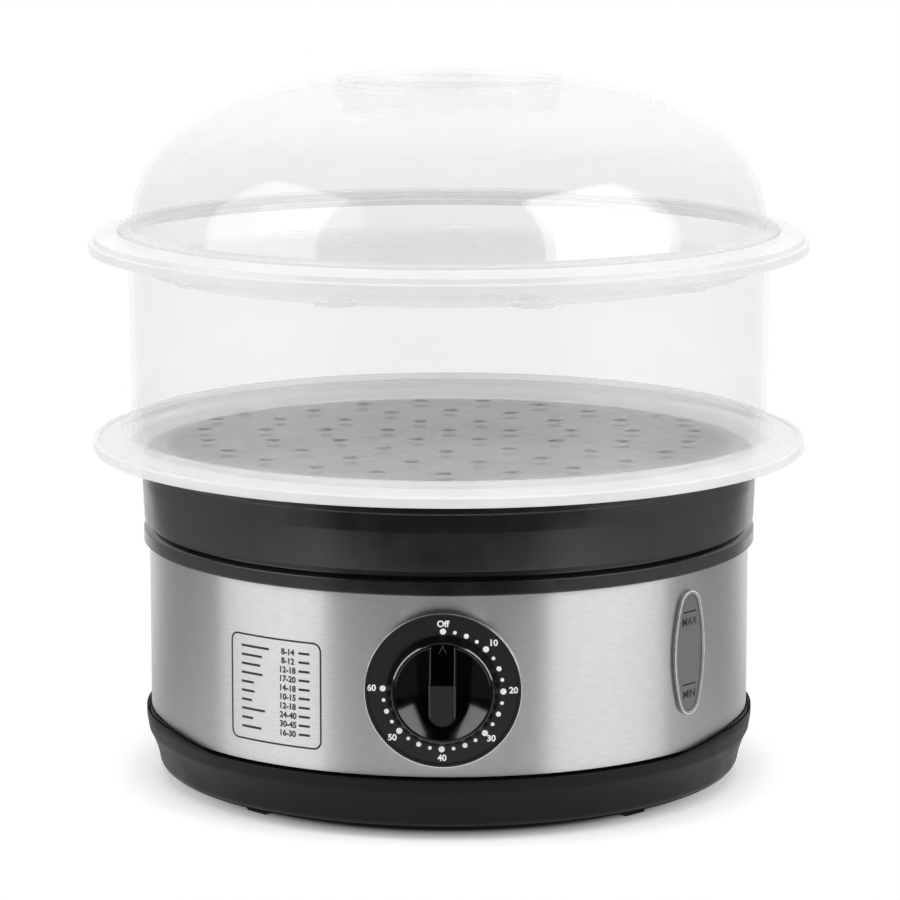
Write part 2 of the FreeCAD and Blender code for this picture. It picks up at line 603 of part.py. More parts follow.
def box_outline(low_x, low_y, high_x, high_y):
    return [(low_x, low_y), (high_x, low_y), (high_x, high_y), (low_x, high_y)]


def raise_body(body, height):
    body.Placement = FreeCAD.Placement(FreeCAD.Vector(0, 0, value(height)), FreeCAD.Rotation())
    bind(body, "Placement.Base.z", height)


# ---------------------------------------------------------------- Part primitives

def primitive(kind, label, **sizes):
    item = document.addObject("Part::" + kind, label)
    for name, part in sizes.items():
        setattr(item, name, value(part))
        bind(item, name, part)
    return item


def place(item, across=0, along=0, up=0, axis=(0, 0, 1), turn=0):
    item.Placement = FreeCAD.Placement(
        FreeCAD.Vector(value(across), value(along), value(up)),
        FreeCAD.Rotation(FreeCAD.Vector(*axis), turn))
    for letter, part in (("x", across), ("y", along), ("z", up)):
        if part != 0:
            bind(item, "Placement.Base." + letter, part)
    return item


def block(label, half_w, half_d, high, across=0, along=0, up=0):
    """Box centred on (across, along) and standing on up."""
    item = primitive("Box", label, Length="2 * (%s)" % half_w, Width="2 * (%s)" % half_d, Height=high)
    return place(item, "(%s) - (%s)" % (across, half_w), "(%s) - (%s)" % (along, half_d), up)


def fused(label, items):
    item = document.addObject("Part::MultiFuse", label)
    item.Shapes = items
    item.Label = label
    return item


def group(label, items):
    item = document.addObject("Part::Compound", label)
    item.Links = items
    item.Label = label
    return item


# ---------------------------------------------------------------- lower housing

def make_base_skirt():
    body = new_body("base_skirt")
    add_side_ribs(body)
    ring(body, [
        ("skirt_floor_in_r", "foot_rise"),
        ("toe_r", "foot_rise", "toe_round"),
        ("toe_out_r", "foot_rise + toe_round", "-flare_r"),
        ("lip_r - brow_lean", "lip_top - brow_high"),
        ("lip_r", "lip_top"),
        ("sleeve_clear_r", "lip_top + lip_slope"),
        ("sleeve_clear_r", "sleeve_bottom"),
        ("sleeve_r - seat_width", "sleeve_bottom"),
        ("skirt_in_r", "sleeve_bottom - seat_depth"),
        ("skirt_in_r", "skirt_floor"),
        ("skirt_floor_in_r", "skirt_floor"),
    ])
    add_finger_grooves(body)
    peg = new_sketch(body, "XY_Plane", [foot_circle()], "foot_rise")
    peg_hole = pocket(body, peg, "skirt_wall")
    polar(body, [peg_hole], "foot_count")
    pocket(body, new_sketch(body, "XY_Plane", post_circles("base_screw_r + fit_gap"), "foot_rise"),
           "skirt_wall")
    spot = new_sketch(body, "XZ_Plane", [("circle", 0, "gland_z", "gland_flange_r + fit_gap")],
                      "-gland_spot_y")
    pocket(body, spot, "lip_r - gland_spot_y", "against")
    bore = new_sketch(body, "XZ_Plane", [("circle", 0, "gland_z", "gland_r")], "-gland_inner_y")
    pocket(body, bore, "lip_r - gland_inner_y", "against")
    return body


def add_side_ribs(body):
    """Raised rib on each side of the lip, cut to rise gently towards the sides."""
    rib = new_sketch(body, "XZ_Plane", [[
        ("sleeve_clear_r", "sleeve_bottom"),
        ("lip_r - 2 * grip_wall", "lip_top - grip_wall"),
        ("lip_r", "lip_top"),
        ("lip_r", "grip_top"),
        ("sleeve_clear_r", "grip_top + grip_inner_rise"),
    ]])
    polar(body, [turned(body, "Revolution", rib, angle="grip_angle")], 2)
    start = "lip_r * cos(grip_angle / 2 * 1 deg)"
    full_x = start + " + grip_taper"
    full_z = "grip_top + grip_inner_rise"
    rise = [
        (start, "lip_top"),
        (full_x, full_z),
        ("0 - (%s)" % full_x, full_z),
        ("0 - " + start, "lip_top"),
    ]
    pocket(body, new_sketch(body, "XZ_Plane", [rise]), "2 * lip_r", "both")


def add_finger_grooves(body):
    """Groove along each side rib that parts it into an outer and an inner wall."""
    trench = new_sketch(body, "XZ_Plane", [[
        ("sleeve_clear_r + grip_wall", "lip_top + lip_slope"),
        ("lip_r - 2 * grip_wall", "lip_top + lip_slope"),
        ("lip_r - grip_wall", "grip_top"),
        ("lip_r - grip_wall", "grip_top + 2 * grip_inner_rise"),
        ("sleeve_clear_r + grip_wall", "grip_top + 2 * grip_inner_rise"),
    ]])
    polar(body, [turned(body, "Groove", trench, angle="grip_angle")], 2)


def foot_circle():
    """Outline of the first foot's peg."""
    return ("circle", "foot_ring_r * sin(foot_azimuth * 1 deg)",
            "-foot_ring_r * cos(foot_azimuth * 1 deg)", "foot_peg_r")


def post_circles(radius):
    return [("circle", side + "post_x", end + "post_y", radius) for side in ("", "-")
            for end in ("", "-")]


def make_bottom_cover():
    body = new_body("bottom_cover")
    disc_r = "skirt_floor_in_r - cover_gap"
    ring(body, [
        (0, "foot_rise"),
        (disc_r, "foot_rise"),
        (disc_r, "skirt_floor"),
        ("cover_flange_r", "skirt_floor"),
        ("cover_flange_r", "post_bottom"),
        (disc_r + " - cover_thick", "post_bottom"),
        (disc_r + " - cover_thick", "cover_top"),
        (0, "cover_top"),
    ])
    pocket(body, new_sketch(body, "XY_Plane", post_circles("base_screw_r + fit_gap"), "skirt_floor"),
           "cover_thick")
    slot = box_outline("slot_ring_r", "-slot_half_w", "slot_ring_r + slot_long", "slot_half_w")
    air = pocket(body, new_sketch(body, "XY_Plane", [slot], "foot_rise"), "cover_thick")
    polar(body, [air], "slot_count")
    return body


def make_feet():
    """Tapered blocks set along the skirt's edge, each with a peg in the skirt's floor."""
    body = new_body("feet")
    outline = [
        ("-foot_sole_half", 0),
        ("foot_sole_half", 0),
        ("foot_top_half", "foot_rise"),
        ("-foot_top_half", "foot_rise"),
    ]
    profile = new_sketch(body, "XZ_Plane", [outline], "foot_ring_r - foot_half_d", "foot_azimuth")
    sole = pad(body, profile, "2 * foot_half_d")
    peg = pad(body, new_sketch(body, "XY_Plane", [foot_circle()], "foot_rise"), "skirt_wall")
    polar(body, [sole, peg], "foot_count")
    return body


def make_base_screws():
    screws = []
    for _, across, along, radius in post_circles("base_screw_r"):
        shank = primitive("Cylinder", "screw_shank", Radius=radius, Height="base_screw_long")
        head = primitive("Cylinder", "screw_head", Radius="base_screw_head_r",
                         Height="base_screw_head_high")
        screws.append(fused("base_screw", [
            place(shank, across, along, "foot_rise"),
            place(head, across, along, "foot_rise - base_screw_head_high")]))
    return group("base_screws", screws)


def make_cord_gland():
    body = new_body("cord_gland")
    barrel(body, [
        ("gland_inner_y", "gland_bore_r"),
        ("gland_spot_y + gland_flange_thick", "gland_bore_r"),
        ("gland_spot_y + gland_flange_thick", "gland_flange_r - gland_flange_thick / 3"),
        ("gland_spot_y + gland_flange_thick * 2 / 3", "gland_flange_r"),
        ("gland_spot_y", "gland_flange_r"),
        ("gland_spot_y", "gland_r"),
        ("gland_inner_y", "gland_r"),
    ])
    raise_body(body, "gland_z")
    return body


def make_terminal_block():
    case = block("block_case", "block_half_w", "block_half_d", "block_high", 0, "block_y",
                 "cover_top")
    screws = []
    for index in range(int(value("block_poles"))):
        across = "(%d - (block_poles - 1) / 2) * block_pitch" % index
        screw = primitive("Cylinder", "block_screw", Radius="block_screw_r",
                          Height="block_screw_high")
        screws.append(place(screw, across, "block_y", "cover_top + block_high"))
    return fused("terminal_block", [case] + screws)


# ---------------------------------------------------------------- steel sleeve and trim ring

def lens_outline(inset, height=0):
    """Upright window shape: two long side arcs and two end arcs, all tangent."""
    side = "(window_half_w - (%s))" % inset
    tall = "(window_half_h - (%s))" % inset
    end = "(window_end_r - (%s))" % inset
    reach = "(window_half_h - window_end_r)"
    bow = "((%s ^ 2 + %s ^ 2 - %s ^ 2) / 2 / (window_half_w - window_end_r))" % (side, reach, end)
    share = "(%s / (%s - %s))" % (end, bow, end)
    corner_x = "(%s - %s) * %s" % (bow, side, share)
    corner_y = "%s * (1 + %s)" % (reach, share)
    return [
        (corner_x, "%s - %s" % (height, corner_y), bow),
        (side, height, bow),
        (corner_x, "%s + %s" % (height, corner_y), end),
        (0, "%s + %s" % (height, tall), end),
        ("0 - " + corner_x, "%s + %s" % (height, corner_y), bow),
        ("0 - " + side, height, bow),
        ("0 - " + corner_x, "%s - %s" % (height, corner_y), end),
        (0, "%s - %s" % (height, tall), end),
    ]


def make_steel_sleeve():
    body = new_body("steel_sleeve")
    ring(body, box_outline("sleeve_in_r", "sleeve_bottom", "sleeve_r", "sleeve_top"))
    dial_hole = [("circle", 0, "dial_z", "spigot_r + fit_gap")]
    pocket(body, new_sketch(body, "XZ_Plane", dial_hole), "sleeve_r + trim_high")
    window_hole = [lens_outline("bezel_neck - fit_gap", "window_z")]
    pocket(body, new_sketch(body, "XZ_Plane", window_hole, turn="window_azimuth"),
           "sleeve_r + trim_high")
    return body


def make_trim_ring():
    body = new_body("trim_ring")
    neck_r = "trim_r - shadow_deep"
    ring(body, [
        ("sleeve_clear_r", "trim_bottom"),
        ("trim_r - trim_edge", "trim_bottom"),
        ("trim_r", "trim_bottom + trim_edge"),
        ("trim_r", "trim_top - trim_bevel"),
        (neck_r, "trim_top"),
        (neck_r, "band_foot"),
        ("collar_in_r", "band_foot"),
        ("collar_in_r", "trim_bottom - collar_drop"),
        ("collar_out_r", "trim_bottom - collar_drop"),
        ("collar_out_r", "sleeve_top"),
        ("sleeve_clear_r", "sleeve_top"),
    ])
    return body


# ---------------------------------------------------------------- water tank and window

def make_water_tank():
    body = new_body("water_tank")
    step_r = "band_high_r - band_step"
    ring(body, [
        ("heater_hole_r", "tank_floor_z"),
        ("vessel_out_r", "tank_floor_z"),
        ("vessel_out_r", "shelf_top - tank_wall"),
        ("mouth_out_r", "shelf_top - tank_wall"),
        ("mouth_out_r", "tank_rim - rim_thick"),
        ("band_in_r", "tank_rim - rim_thick"),
        ("band_in_r", "band_foot + band_foot_thick"),
        ("collar_in_r", "band_foot + band_foot_thick"),
        ("collar_in_r", "band_foot"),
        ("band_low_r", "band_foot"),
        ("band_high_r", "band_foot + band_taper_high"),
        ("band_high_r", "tank_rim - band_step_drop"),
        (step_r, "tank_rim - band_step_drop + band_step"),
        (step_r, "tank_rim - rim_round", "rim_round"),
        (step_r + " - rim_round", "tank_rim"),
        ("mouth_r", "tank_rim"),
        ("mouth_r", "shelf_top"),
        ("vessel_r", "shelf_top"),
        ("vessel_r", "tank_floor_top"),
        ("heater_hole_r", "tank_floor_top"),
    ])
    add_timer_notch(body)
    add_window_pocket(body)
    posts = new_sketch(body, "XY_Plane", post_circles("post_r"), "post_bottom")
    pad(body, posts, "tank_floor_z - post_bottom")
    pilots = new_sketch(body, "XY_Plane", post_circles("base_screw_r"), "post_bottom")
    pocket(body, pilots, "foot_rise + base_screw_long - post_bottom")
    return body


def half_chord(radius, distance):
    return "sqrt((%s) ^ 2 - (%s) ^ 2)" % (radius, distance)


def add_timer_notch(body):
    """Flat-walled recess in the front of the vessel that keeps the water away from the timer."""
    mid_r = "vessel_r + tank_wall / 2"
    half_w = "(notch_half_w + tank_wall)"
    front = "0 - " + half_chord(mid_r, half_w)
    walls = [("0 - " + half_w, "-notch_y"), ("0 - " + half_w, front, mid_r), (half_w, front),
             (half_w, "-notch_y")]
    pad(body, new_sketch(body, "XY_Plane", [walls], "tank_floor_z"),
        "notch_top + tank_wall - tank_floor_z")
    space = box_outline("-notch_half_w", "0 - (vessel_out_r + tank_wall)",
                        "notch_half_w", "0 - (notch_y + tank_wall)")
    pocket(body, new_sketch(body, "XY_Plane", [space], "tank_floor_z - tank_wall"),
           "notch_top - tank_floor_z + tank_wall")


def add_window_pocket(body):
    """Flat-faced box on the vessel's wall that brings the water to the window."""
    half_w = "(window_half_w - pocket_inset + pocket_wall)"
    half_h = "(window_half_h - pocket_inset + pocket_wall)"
    outer = box_outline("0 - " + half_w, "window_z - " + half_h, half_w, "window_z + " + half_h)
    start = "vessel_r + fit_gap"
    pad(body, new_sketch(body, "XZ_Plane", [outer], start, "window_azimuth"),
        "window_clear - (%s)" % start)
    inner = lens_outline("pocket_inset", "window_z")
    start = "vessel_r - tank_wall"
    pocket(body, new_sketch(body, "XZ_Plane", [inner], start, "window_azimuth"),
           "window_back - (%s)" % start)


def place_window_part(body):
    body.Placement = FreeCAD.Placement(
        FreeCAD.Vector(0, 0, value("window_z")),
        FreeCAD.Rotation(FreeCAD.Vector(0, 0, 1), value("window_azimuth")))
    bind(body, "Placement.Base.z", "window_z")
    bind(body, "Placement.Rotation.Angle", "window_azimuth")


def shave(body, low_r, high_r):
    """Cut away the ring of space about Z between two radii."""
    reach = "(window_half_h + window_half_w)"
    outline = box_outline(low_r, "0 - " + reach, high_r, reach)
    turned(body, "Groove", new_sketch(body, "XZ_Plane", [outline]))


def make_window_bezel():
    """Rim that lies on the steel, with a neck through it to the gasket."""
    body = new_body("window_bezel")
    hole = lens_outline("bezel_rim")
    front = "sleeve_r + bezel_proud"
    blank = new_sketch(body, "XZ_Plane", [lens_outline(0), hole], "window_back")
    pad(body, blank, front + " - window_back")
    shave(body, "window_back - bezel_proud", "sleeve_r + fit_gap / 2")
    shave(body, front, front + " + bezel_proud")
    neck = new_sketch(body, "XZ_Plane", [lens_outline("bezel_neck"), hole], "window_back")
    pad(body, neck, "sleeve_r + bezel_proud / 2 - window_back")
    place_window_part(body)
    return body


def make_window_pane():
    body = new_body("window_pane")
    front = "sleeve_r + pane_proud"
    outline = lens_outline("bezel_rim + fit_gap")
    pad(body, new_sketch(body, "XZ_Plane", [outline], "window_back"), front + " - window_back")
    shave(body, front, front + " + pane_proud")
    place_window_part(body)
    return body


def make_window_gasket():
    body = new_body("window_gasket")
    outlines = [lens_outline(0), lens_outline("pocket_inset")]
    pad(body, new_sketch(body, "XZ_Plane", outlines, "window_clear"), "gasket_thick")
    place_window_part(body)
    return body


# ---------------------------------------------------------------- heater

def make_heater_plate():
    body = new_body("heater_plate")
    top = "heater_z + heater_thick"
    ring(body, [
        (0, "heater_z"),
        ("hub_in_r", "heater_z"),
        ("hub_in_r", "tank_floor_z - hub_drop"),
        ("hub_r", "tank_floor_z - hub_drop"),
        ("hub_r", "heater_z"),
        ("heater_r", "heater_z"),
        ("heater_r", top),
        ("heater_boss_r + heater_boss_high", top),
        ("heater_boss_r", top + " + heater_boss_high"),
        (0, top + " + heater_boss_high"),
    ])
    return body


def make_heater_gasket():
    body = new_body("heater_gasket")
    ring(body, box_outline("heater_hole_r", "tank_floor_top", "heater_r", "heater_z"))
    return body


def make_heater_nut():
    body = new_body("heater_nut")
    bottom = "tank_floor_z - nut_thick"
    ring(body, box_outline("hub_r", bottom, "nut_r", "tank_floor_z"))
    notch = box_outline("nut_r - nut_notch_deep", "-nut_notch_half_w",
                        "nut_r + nut_notch_deep", "nut_notch_half_w")
    cut = pocket(body, new_sketch(body, "XY_Plane", [notch], bottom), "nut_thick")
    polar(body, [cut], "nut_notches")
    return body


def make_heating_element():
    """Round tube bent to an open loop under the plate, with two cold pins pointing down."""
    body = new_body("heating_element")
    loop_z = "heater_z - coil_tube_r"
    section = [("circle", "coil_r", loop_z, "coil_tube_r")]
    turned(body, "Revolution", new_sketch(body, "XZ_Plane", section), angle="coil_angle")
    pin_x = "0 - sqrt(coil_r ^ 2 - pin_half_gap ^ 2)"
    pins = [("circle", pin_x, side + "pin_half_gap", "pin_r") for side in ("", "-")]
    drop = "coil_tube_r + pin_drop"
    pad(body, new_sketch(body, "XY_Plane", pins, "%s - (%s)" % (loop_z, drop)), drop)
    return body


def make_thermostat():
    cap = primitive("Cylinder", "thermostat_cap", Radius="thermostat_r", Height="thermostat_high")
    place(cap, 0, 0, "heater_z - thermostat_high")
    tabs = [block("thermostat_tab", "tab_thick / 2", "tab_half_w", "tab_long", side + "tab_x", 0,
                  "heater_z - thermostat_high - tab_long") for side in ("", "-")]
    return fused("thermostat", [cap] + tabs)


def make_thermal_fuse():
    bar = primitive("Cylinder", "fuse_bar", Radius="fuse_r", Height="fuse_long")
    lead = primitive("Cylinder", "fuse_lead", Radius="fuse_lead_r",
                     Height="fuse_long + 2 * fuse_lead_long")
    height = "heater_z - fuse_r"
    place(bar, "-fuse_long / 2", "fuse_y", height, (0, 1, 0), 90)
    place(lead, "-fuse_long / 2 - fuse_lead_long", "fuse_y", height, (0, 1, 0), 90)
    return fused("thermal_fuse", [bar, lead])


def make_steam_diffuser():
    body = new_body("steam_diffuser")
    inner_r = "diffuser_r - diffuser_wall"
    ring(body, [
        (inner_r, "tank_floor_top"),
        ("diffuser_foot_r", "tank_floor_top"),
        ("diffuser_foot_r", "tank_floor_top + diffuser_wall"),
        ("diffuser_r", "tank_floor_top + 2 * diffuser_wall"),
        ("diffuser_r", "tank_floor_top + diffuser_high"),
        (inner_r, "tank_floor_top + diffuser_high"),
    ])
    inlet = box_outline("-inlet_half_w", "tank_floor_top", "inlet_half_w",
                        "tank_floor_top + inlet_high")
    cut = pocket(body, new_sketch(body, "XZ_Plane", [inlet]), "diffuser_foot_r + diffuser_wall")
    polar(body, [cut], "inlet_count")
    return body


# ---------------------------------------------------------------- timer; its parts are drawn
# about the dial's centre and raised to it, and distances are measured from the steamer's axis

def make_dial_plate():
    body = new_body("dial_plate")
    depth = "dial_front - frame_front"
    pad(body, new_sketch(body, "XZ_Plane", [("circle", 0, 0, "dial_r")], "frame_front"), depth)
    core = box_outline(0, "-2 * dial_r", "sleeve_clear_r", "2 * dial_r")
    turned(body, "Groove", new_sketch(body, "XZ_Plane", [core]))
    web = "dial_front - dial_rim_w"
    spigot = [("circle", 0, 0, "spigot_r"), ("circle", 0, 0, "spigot_r - spigot_wall")]
    bosses = [("circle", side + "screw_half_gap", 0, "screw_boss_r") for side in ("", "-")]
    back = web + " - frame_front"
    pad(body, new_sketch(body, "XZ_Plane", spigot, "frame_front"), back)
    pad(body, new_sketch(body, "XZ_Plane", bosses, "frame_front"), back)
    rim = [("circle", 0, 0, "dial_r"), ("circle", 0, 0, "dial_r - dial_rim_w")]
    pad(body, new_sketch(body, "XZ_Plane", rim, "dial_front"), "dial_rim_high")
    bore = [("circle", 0, 0, "bush_r + fit_gap")]
    pocket(body, new_sketch(body, "XZ_Plane", bore, "frame_front"), depth)
    holes = [("circle", side + "screw_half_gap", 0, "screw_r + fit_gap") for side in ("", "-")]
    pocket(body, new_sketch(body, "XZ_Plane", holes, "frame_front"), depth)
    sinks = [("circle", side + "screw_half_gap", 0, "screw_head_r + fit_gap") for side in ("", "-")]
    pocket(body, new_sketch(body, "XZ_Plane", sinks, "dial_front - screw_head_high"),
           "screw_head_high")
    raise_body(body, "dial_z")
    return body


def make_timer_screws():
    screws = []
    for side in ("", "-"):
        shank = primitive("Cylinder", "timer_shank", Radius="screw_r", Height="screw_long")
        head = primitive("Cylinder", "timer_head", Radius="screw_head_r", Height="screw_head_high")
        front = "screw_head_high - dial_front"
        place(shank, side + "screw_half_gap", front + " + screw_long", "dial_z", (1, 0, 0), 90)
        place(head, side + "screw_half_gap", front, "dial_z", (1, 0, 0), 90)
        screws.append(fused("timer_screw", [shank, head]))
    return group("timer_screws", screws)


def make_timer_frame():
    body = new_body("timer_frame")
    plate = box_outline("-frame_half_w", "-frame_half_h", "frame_half_w", "frame_half_h")
    holes = [("circle", side + "screw_half_gap", 0, "screw_r") for side in ("", "-")]
    holes.append(("circle", 0, 0, "bush_r"))
    pad(body, new_sketch(body, "XZ_Plane", [plate] + holes, "frame_back"), "frame_thick")
    raise_body(body, "dial_z")
    return body


def make_shaft_bush():
    body = new_body("shaft_bush")
    front = "dial_front - bush_inset"
    barrel(body, [
        ("0 - (%s)" % front, "shaft_bore_r"),
        ("bush_flange_thick - frame_back", "shaft_bore_r"),
        ("bush_flange_thick - frame_back", "bush_flange_r"),
        ("-frame_back", "bush_flange_r"),
        ("-frame_back", "bush_r"),
        ("0 - (%s)" % front, "bush_r"),
    ])
    raise_body(body, "dial_z")
    return body


def make_timer_case():
    """Open box closed in front by the timer frame; its back carries the end of the shaft."""
    body = new_body("timer_case")
    outer = box_outline("-case_half", "-case_half", "case_half", "case_half")
    pad(body, new_sketch(body, "XZ_Plane", [outer], "case_back"), "case_deep")
    room = "(case_half - case_wall)"
    inner = box_outline("0 - " + room, "0 - " + room, room, room)
    pocket(body, new_sketch(body, "XZ_Plane", [inner], "case_back + case_wall"), "case_deep")
    bearing = [("circle", 0, 0, "shaft_bore_r")]
    pocket(body, new_sketch(body, "XZ_Plane", bearing, "case_back"), "case_wall")
    raise_body(body, "dial_z")
    return body


def make_timer_shaft():
    body = new_body("timer_shaft")
    section = [("circle", 0, 0, "shaft_r")]
    pad(body, new_sketch(body, "XZ_Plane", section, "shaft_back"),
        "knob_back + shaft_in_knob - shaft_back")
    raise_body(body, "dial_z")
    return body


def make_main_gear():
    body = new_body("timer_main_gear")
    start = "case_back + gear_back"
    blank = [("circle", 0, 0, "gear_r"), ("circle", 0, 0, "shaft_r")]
    pad(body, new_sketch(body, "XZ_Plane", blank, start), "gear_thick")
    root_r = "gear_r - gear_tooth_deep"
    gap = [
        (root_r, "-gear_gap_half_w / 2"),
        ("gear_r + gear_tooth_deep", "-gear_gap_half_w * 1.5"),
        ("gear_r + gear_tooth_deep", "gear_gap_half_w * 1.5"),
        (root_r, "gear_gap_half_w / 2"),
    ]
    cut = pocket(body, new_sketch(body, "XZ_Plane", [gap], start), "gear_thick")
    polar(body, [cut], "gear_teeth", "Y_Axis")
    raise_body(body, "dial_z")
    return body


def make_switch_cam():
    """Cam on the shaft; its notch lets the contacts open at the off position."""
    body = new_body("switch_cam")
    start = "case_back + cam_back"
    blank = [("circle", 0, 0, "cam_r"), ("circle", 0, 0, "shaft_r")]
    pad(body, new_sketch(body, "XZ_Plane", blank, start), "cam_thick")
    notch = box_outline("cam_r - cam_notch_deep", "-cam_notch_half_w",
                        "cam_r + cam_notch_deep", "cam_notch_half_w")
    pocket(body, new_sketch(body, "XZ_Plane", [notch], start), "cam_thick")
    raise_body(body, "dial_z")
    return body


def make_contact_blades():
    """Two spring blades that stand on the case's floor beside the cam, each with its rivet."""
    floor_z = "dial_z - case_half + case_wall"
    middle = "0 - case_back - cam_back - cam_thick / 2"
    blades = []
    for index in range(2):
        across = "cam_r + blade_gap + blade_thick / 2 + %d * blade_pitch" % index
        blade = block("blade", "blade_thick / 2", "blade_half_w",
                      "dial_z + blade_top - (%s)" % floor_z, across, middle, floor_z)
        rivet = primitive("Cylinder", "contact", Radius="contact_r", Height="blade_pitch / 3")
        start = across if index == 0 else across + " - blade_pitch / 3"
        place(rivet, start, middle, "dial_z + blade_top - 2 * contact_r", (0, 1, 0), 90)
        blades.append(fused("contact_blade", [blade, rivet]))
    return group("contact_blades", blades)


def make_timer_bell():
    body = new_body("timer_bell")
    mouth = "bell_gap - case_back"
    barrel(body, [
        (mouth, "bell_r - bell_wall"),
        (mouth, "bell_r"),
        (mouth + " + bell_deep * 0.5", "bell_r"),
        (mouth + " + bell_deep", "bell_crown_r"),
        (mouth + " + bell_deep", "stud_r"),
        (mouth + " + bell_deep - bell_wall", "stud_r"),
        (mouth + " + bell_deep - bell_wall", "bell_crown_r - bell_wall / 2"),
        (mouth + " + bell_deep * 0.5 - bell_wall / 2", "bell_r - bell_wall"),
    ])
    raise_body(body, "dial_z")
    return body


def make_bell_stud():
    body = new_body("bell_stud")
    shoulder = "bell_gap - case_back + bell_deep - bell_wall"
    barrel(body, [
        ("-case_back", 0),
        ("-case_back", "stud_shoulder_r"),
        (shoulder, "stud_shoulder_r"),
        (shoulder, "stud_r"),
        (shoulder + " + bell_wall", "stud_r"),
        (shoulder + " + bell_wall", "stud_head_r"),
        (shoulder + " + bell_wall + stud_head_high", "stud_head_r - stud_head_high / 4"),
        (shoulder + " + bell_wall + stud_head_high", 0),
    ])
    raise_body(body, "dial_z")
    return body


def make_timer_knob():
    """Round knob with a dished face and a raised bar across it, from the rim past the middle."""
    body = new_body("timer_knob")
    barrel(body, [
        ("-knob_back", 0),
        ("-knob_back", "knob_r"),
        ("knob_rim_bevel - knob_rim", "knob_top_r"),
        ("-knob_rim", "knob_edge_r"),
        ("-knob_rim", "knob_dish_r", "-knob_dish_bow"),
        ("knob_dish_deep - knob_rim", 0),
    ])
    pad(body, new_sketch(body, "XZ_Plane", [bar_outline("knob_bar_half_w")], "knob_back"),
        "knob_bar_high")
    bevel_bar(body, slope_bar(body))
    socket = [("circle", 0, 0, "shaft_r")]
    pocket(body, new_sketch(body, "XZ_Plane", socket, "knob_back"), "shaft_in_knob")
    raise_body(body, "dial_z")
    return body


def bar_outline(half_w):
    """Straight bar: its top follows the knob's rim and its lower end is round."""
    top = half_chord("knob_edge_r", half_w)
    low = "knob_bar_low - " + half_w
    return [
        (half_w, "0 - (%s)" % low),
        (half_w, top, "knob_edge_r"),
        ("-" + half_w, top),
        ("-" + half_w, "0 - (%s)" % low, half_w),
        (0, "-knob_bar_low", half_w),
    ]


def slope_bar(body):
    """Cut the bar's face down from its ridge, towards the rim and towards its lower end."""
    front = "0 - knob_back - knob_bar_high"
    clear = front + " - knob_bar_fall"
    wedges = [
        (front, "knob_ridge_z"),
        (front + " + knob_bar_dip", "-knob_bar_low"),
        (front + " + knob_bar_dip", "-knob_r"),
        (clear, "-knob_r"),
        (clear, "knob_r"),
        (front + " + knob_bar_fall", "knob_edge_r"),
    ]
    return pocket(body, new_sketch(body, "YZ_Plane", [wedges]), "2 * knob_r", "both")


def bevel_bar(body, sloped):
    """Bevel the long edges and the round end of the bar's face."""
    document.recompute()
    half_w = value("knob_bar_half_w")
    rim_y = -value("knob_rim")
    names = []
    for index, edge in enumerate(sloped.Shape.Edges, start=1):
        middle = edge.valueAt((edge.FirstParameter + edge.LastParameter) / 2)
        beside = abs(abs(middle.x) - half_w) < TOLERANCE
        below = middle.z < half_w - value("knob_bar_low") + TOLERANCE
        lengthwise = edge.BoundBox.ZLength > edge.BoundBox.YLength
        if edge.BoundBox.YMin < rim_y - 1 and lengthwise and (beside or below):
            names.append("Edge%d" % index)
    bevel = body.newObject("PartDesign::Chamfer", body.Label + "_bevel")
    bevel.Base = (sloped, names)
    bevel.Size = value("knob_bar_bevel")
    bind(bevel, "Size", "knob_bar_bevel")
    body.Tip = bevel


# ---------------------------------------------------------------- trays and lid

def make_drip_tray():
    body = new_body("drip_tray")
    lip_in_r = "drip_flange_r - lip_width"
    ring(body, [
        ("chimney_r - drip_skin", "well_floor"),
        ("well_r", "well_floor"),
        ("well_r", "tank_rim"),
        ("drip_cup_out_r", "tank_rim"),
        ("drip_cup_out_r", "drip_crest - 1.4 * drip_skin"),
        (lip_in_r, "drip_lip + lip_bevel"),
        (lip_in_r, "drip_lip"),
        ("drip_flange_r - lip_bevel", "drip_lip"),
        ("drip_flange_r", "drip_lip + lip_bevel"),
        ("drip_flange_r", "drip_lip_top - lip_bevel"),
        ("drip_flange_r - lip_bevel", "drip_lip_top"),
        (lip_in_r, "drip_lip_top"),
        (lip_in_r + " - lip_bevel", "drip_lip_top - lip_step"),
        ("drip_cup_out_r", "drip_crest"),
        ("drip_cup_r + drip_skin / 2", "drip_crest"),
        ("drip_cup_r", "drip_crest - lip_bevel"),
        ("drip_cup_r", "drip_seat"),
        ("well_in_r", "drip_seat"),
        ("well_in_r", "well_floor + drip_skin"),
        ("chimney_r", "well_floor + drip_skin"),
        ("chimney_r", "well_floor + chimney_high"),
        ("chimney_r - drip_skin", "well_floor + chimney_high"),
    ])
    return body


def add_steam_holes(body, floor_z, thick, rings):
    """Rings of round holes, each ring with more holes than the one inside it."""
    middle = new_sketch(body, "XY_Plane", [("circle", 0, 0, "hole_r")], floor_z)
    pocket(body, middle, thick)
    for ring_number in range(1, int(value(rings)) + 1):
        spot = [("circle", "%d * hole_pitch" % ring_number, 0, "hole_r")]
        hole = pocket(body, new_sketch(body, "XY_Plane", [spot[0]], floor_z), thick)
        polar(body, [hole], "%d * hole_count_step" % ring_number)


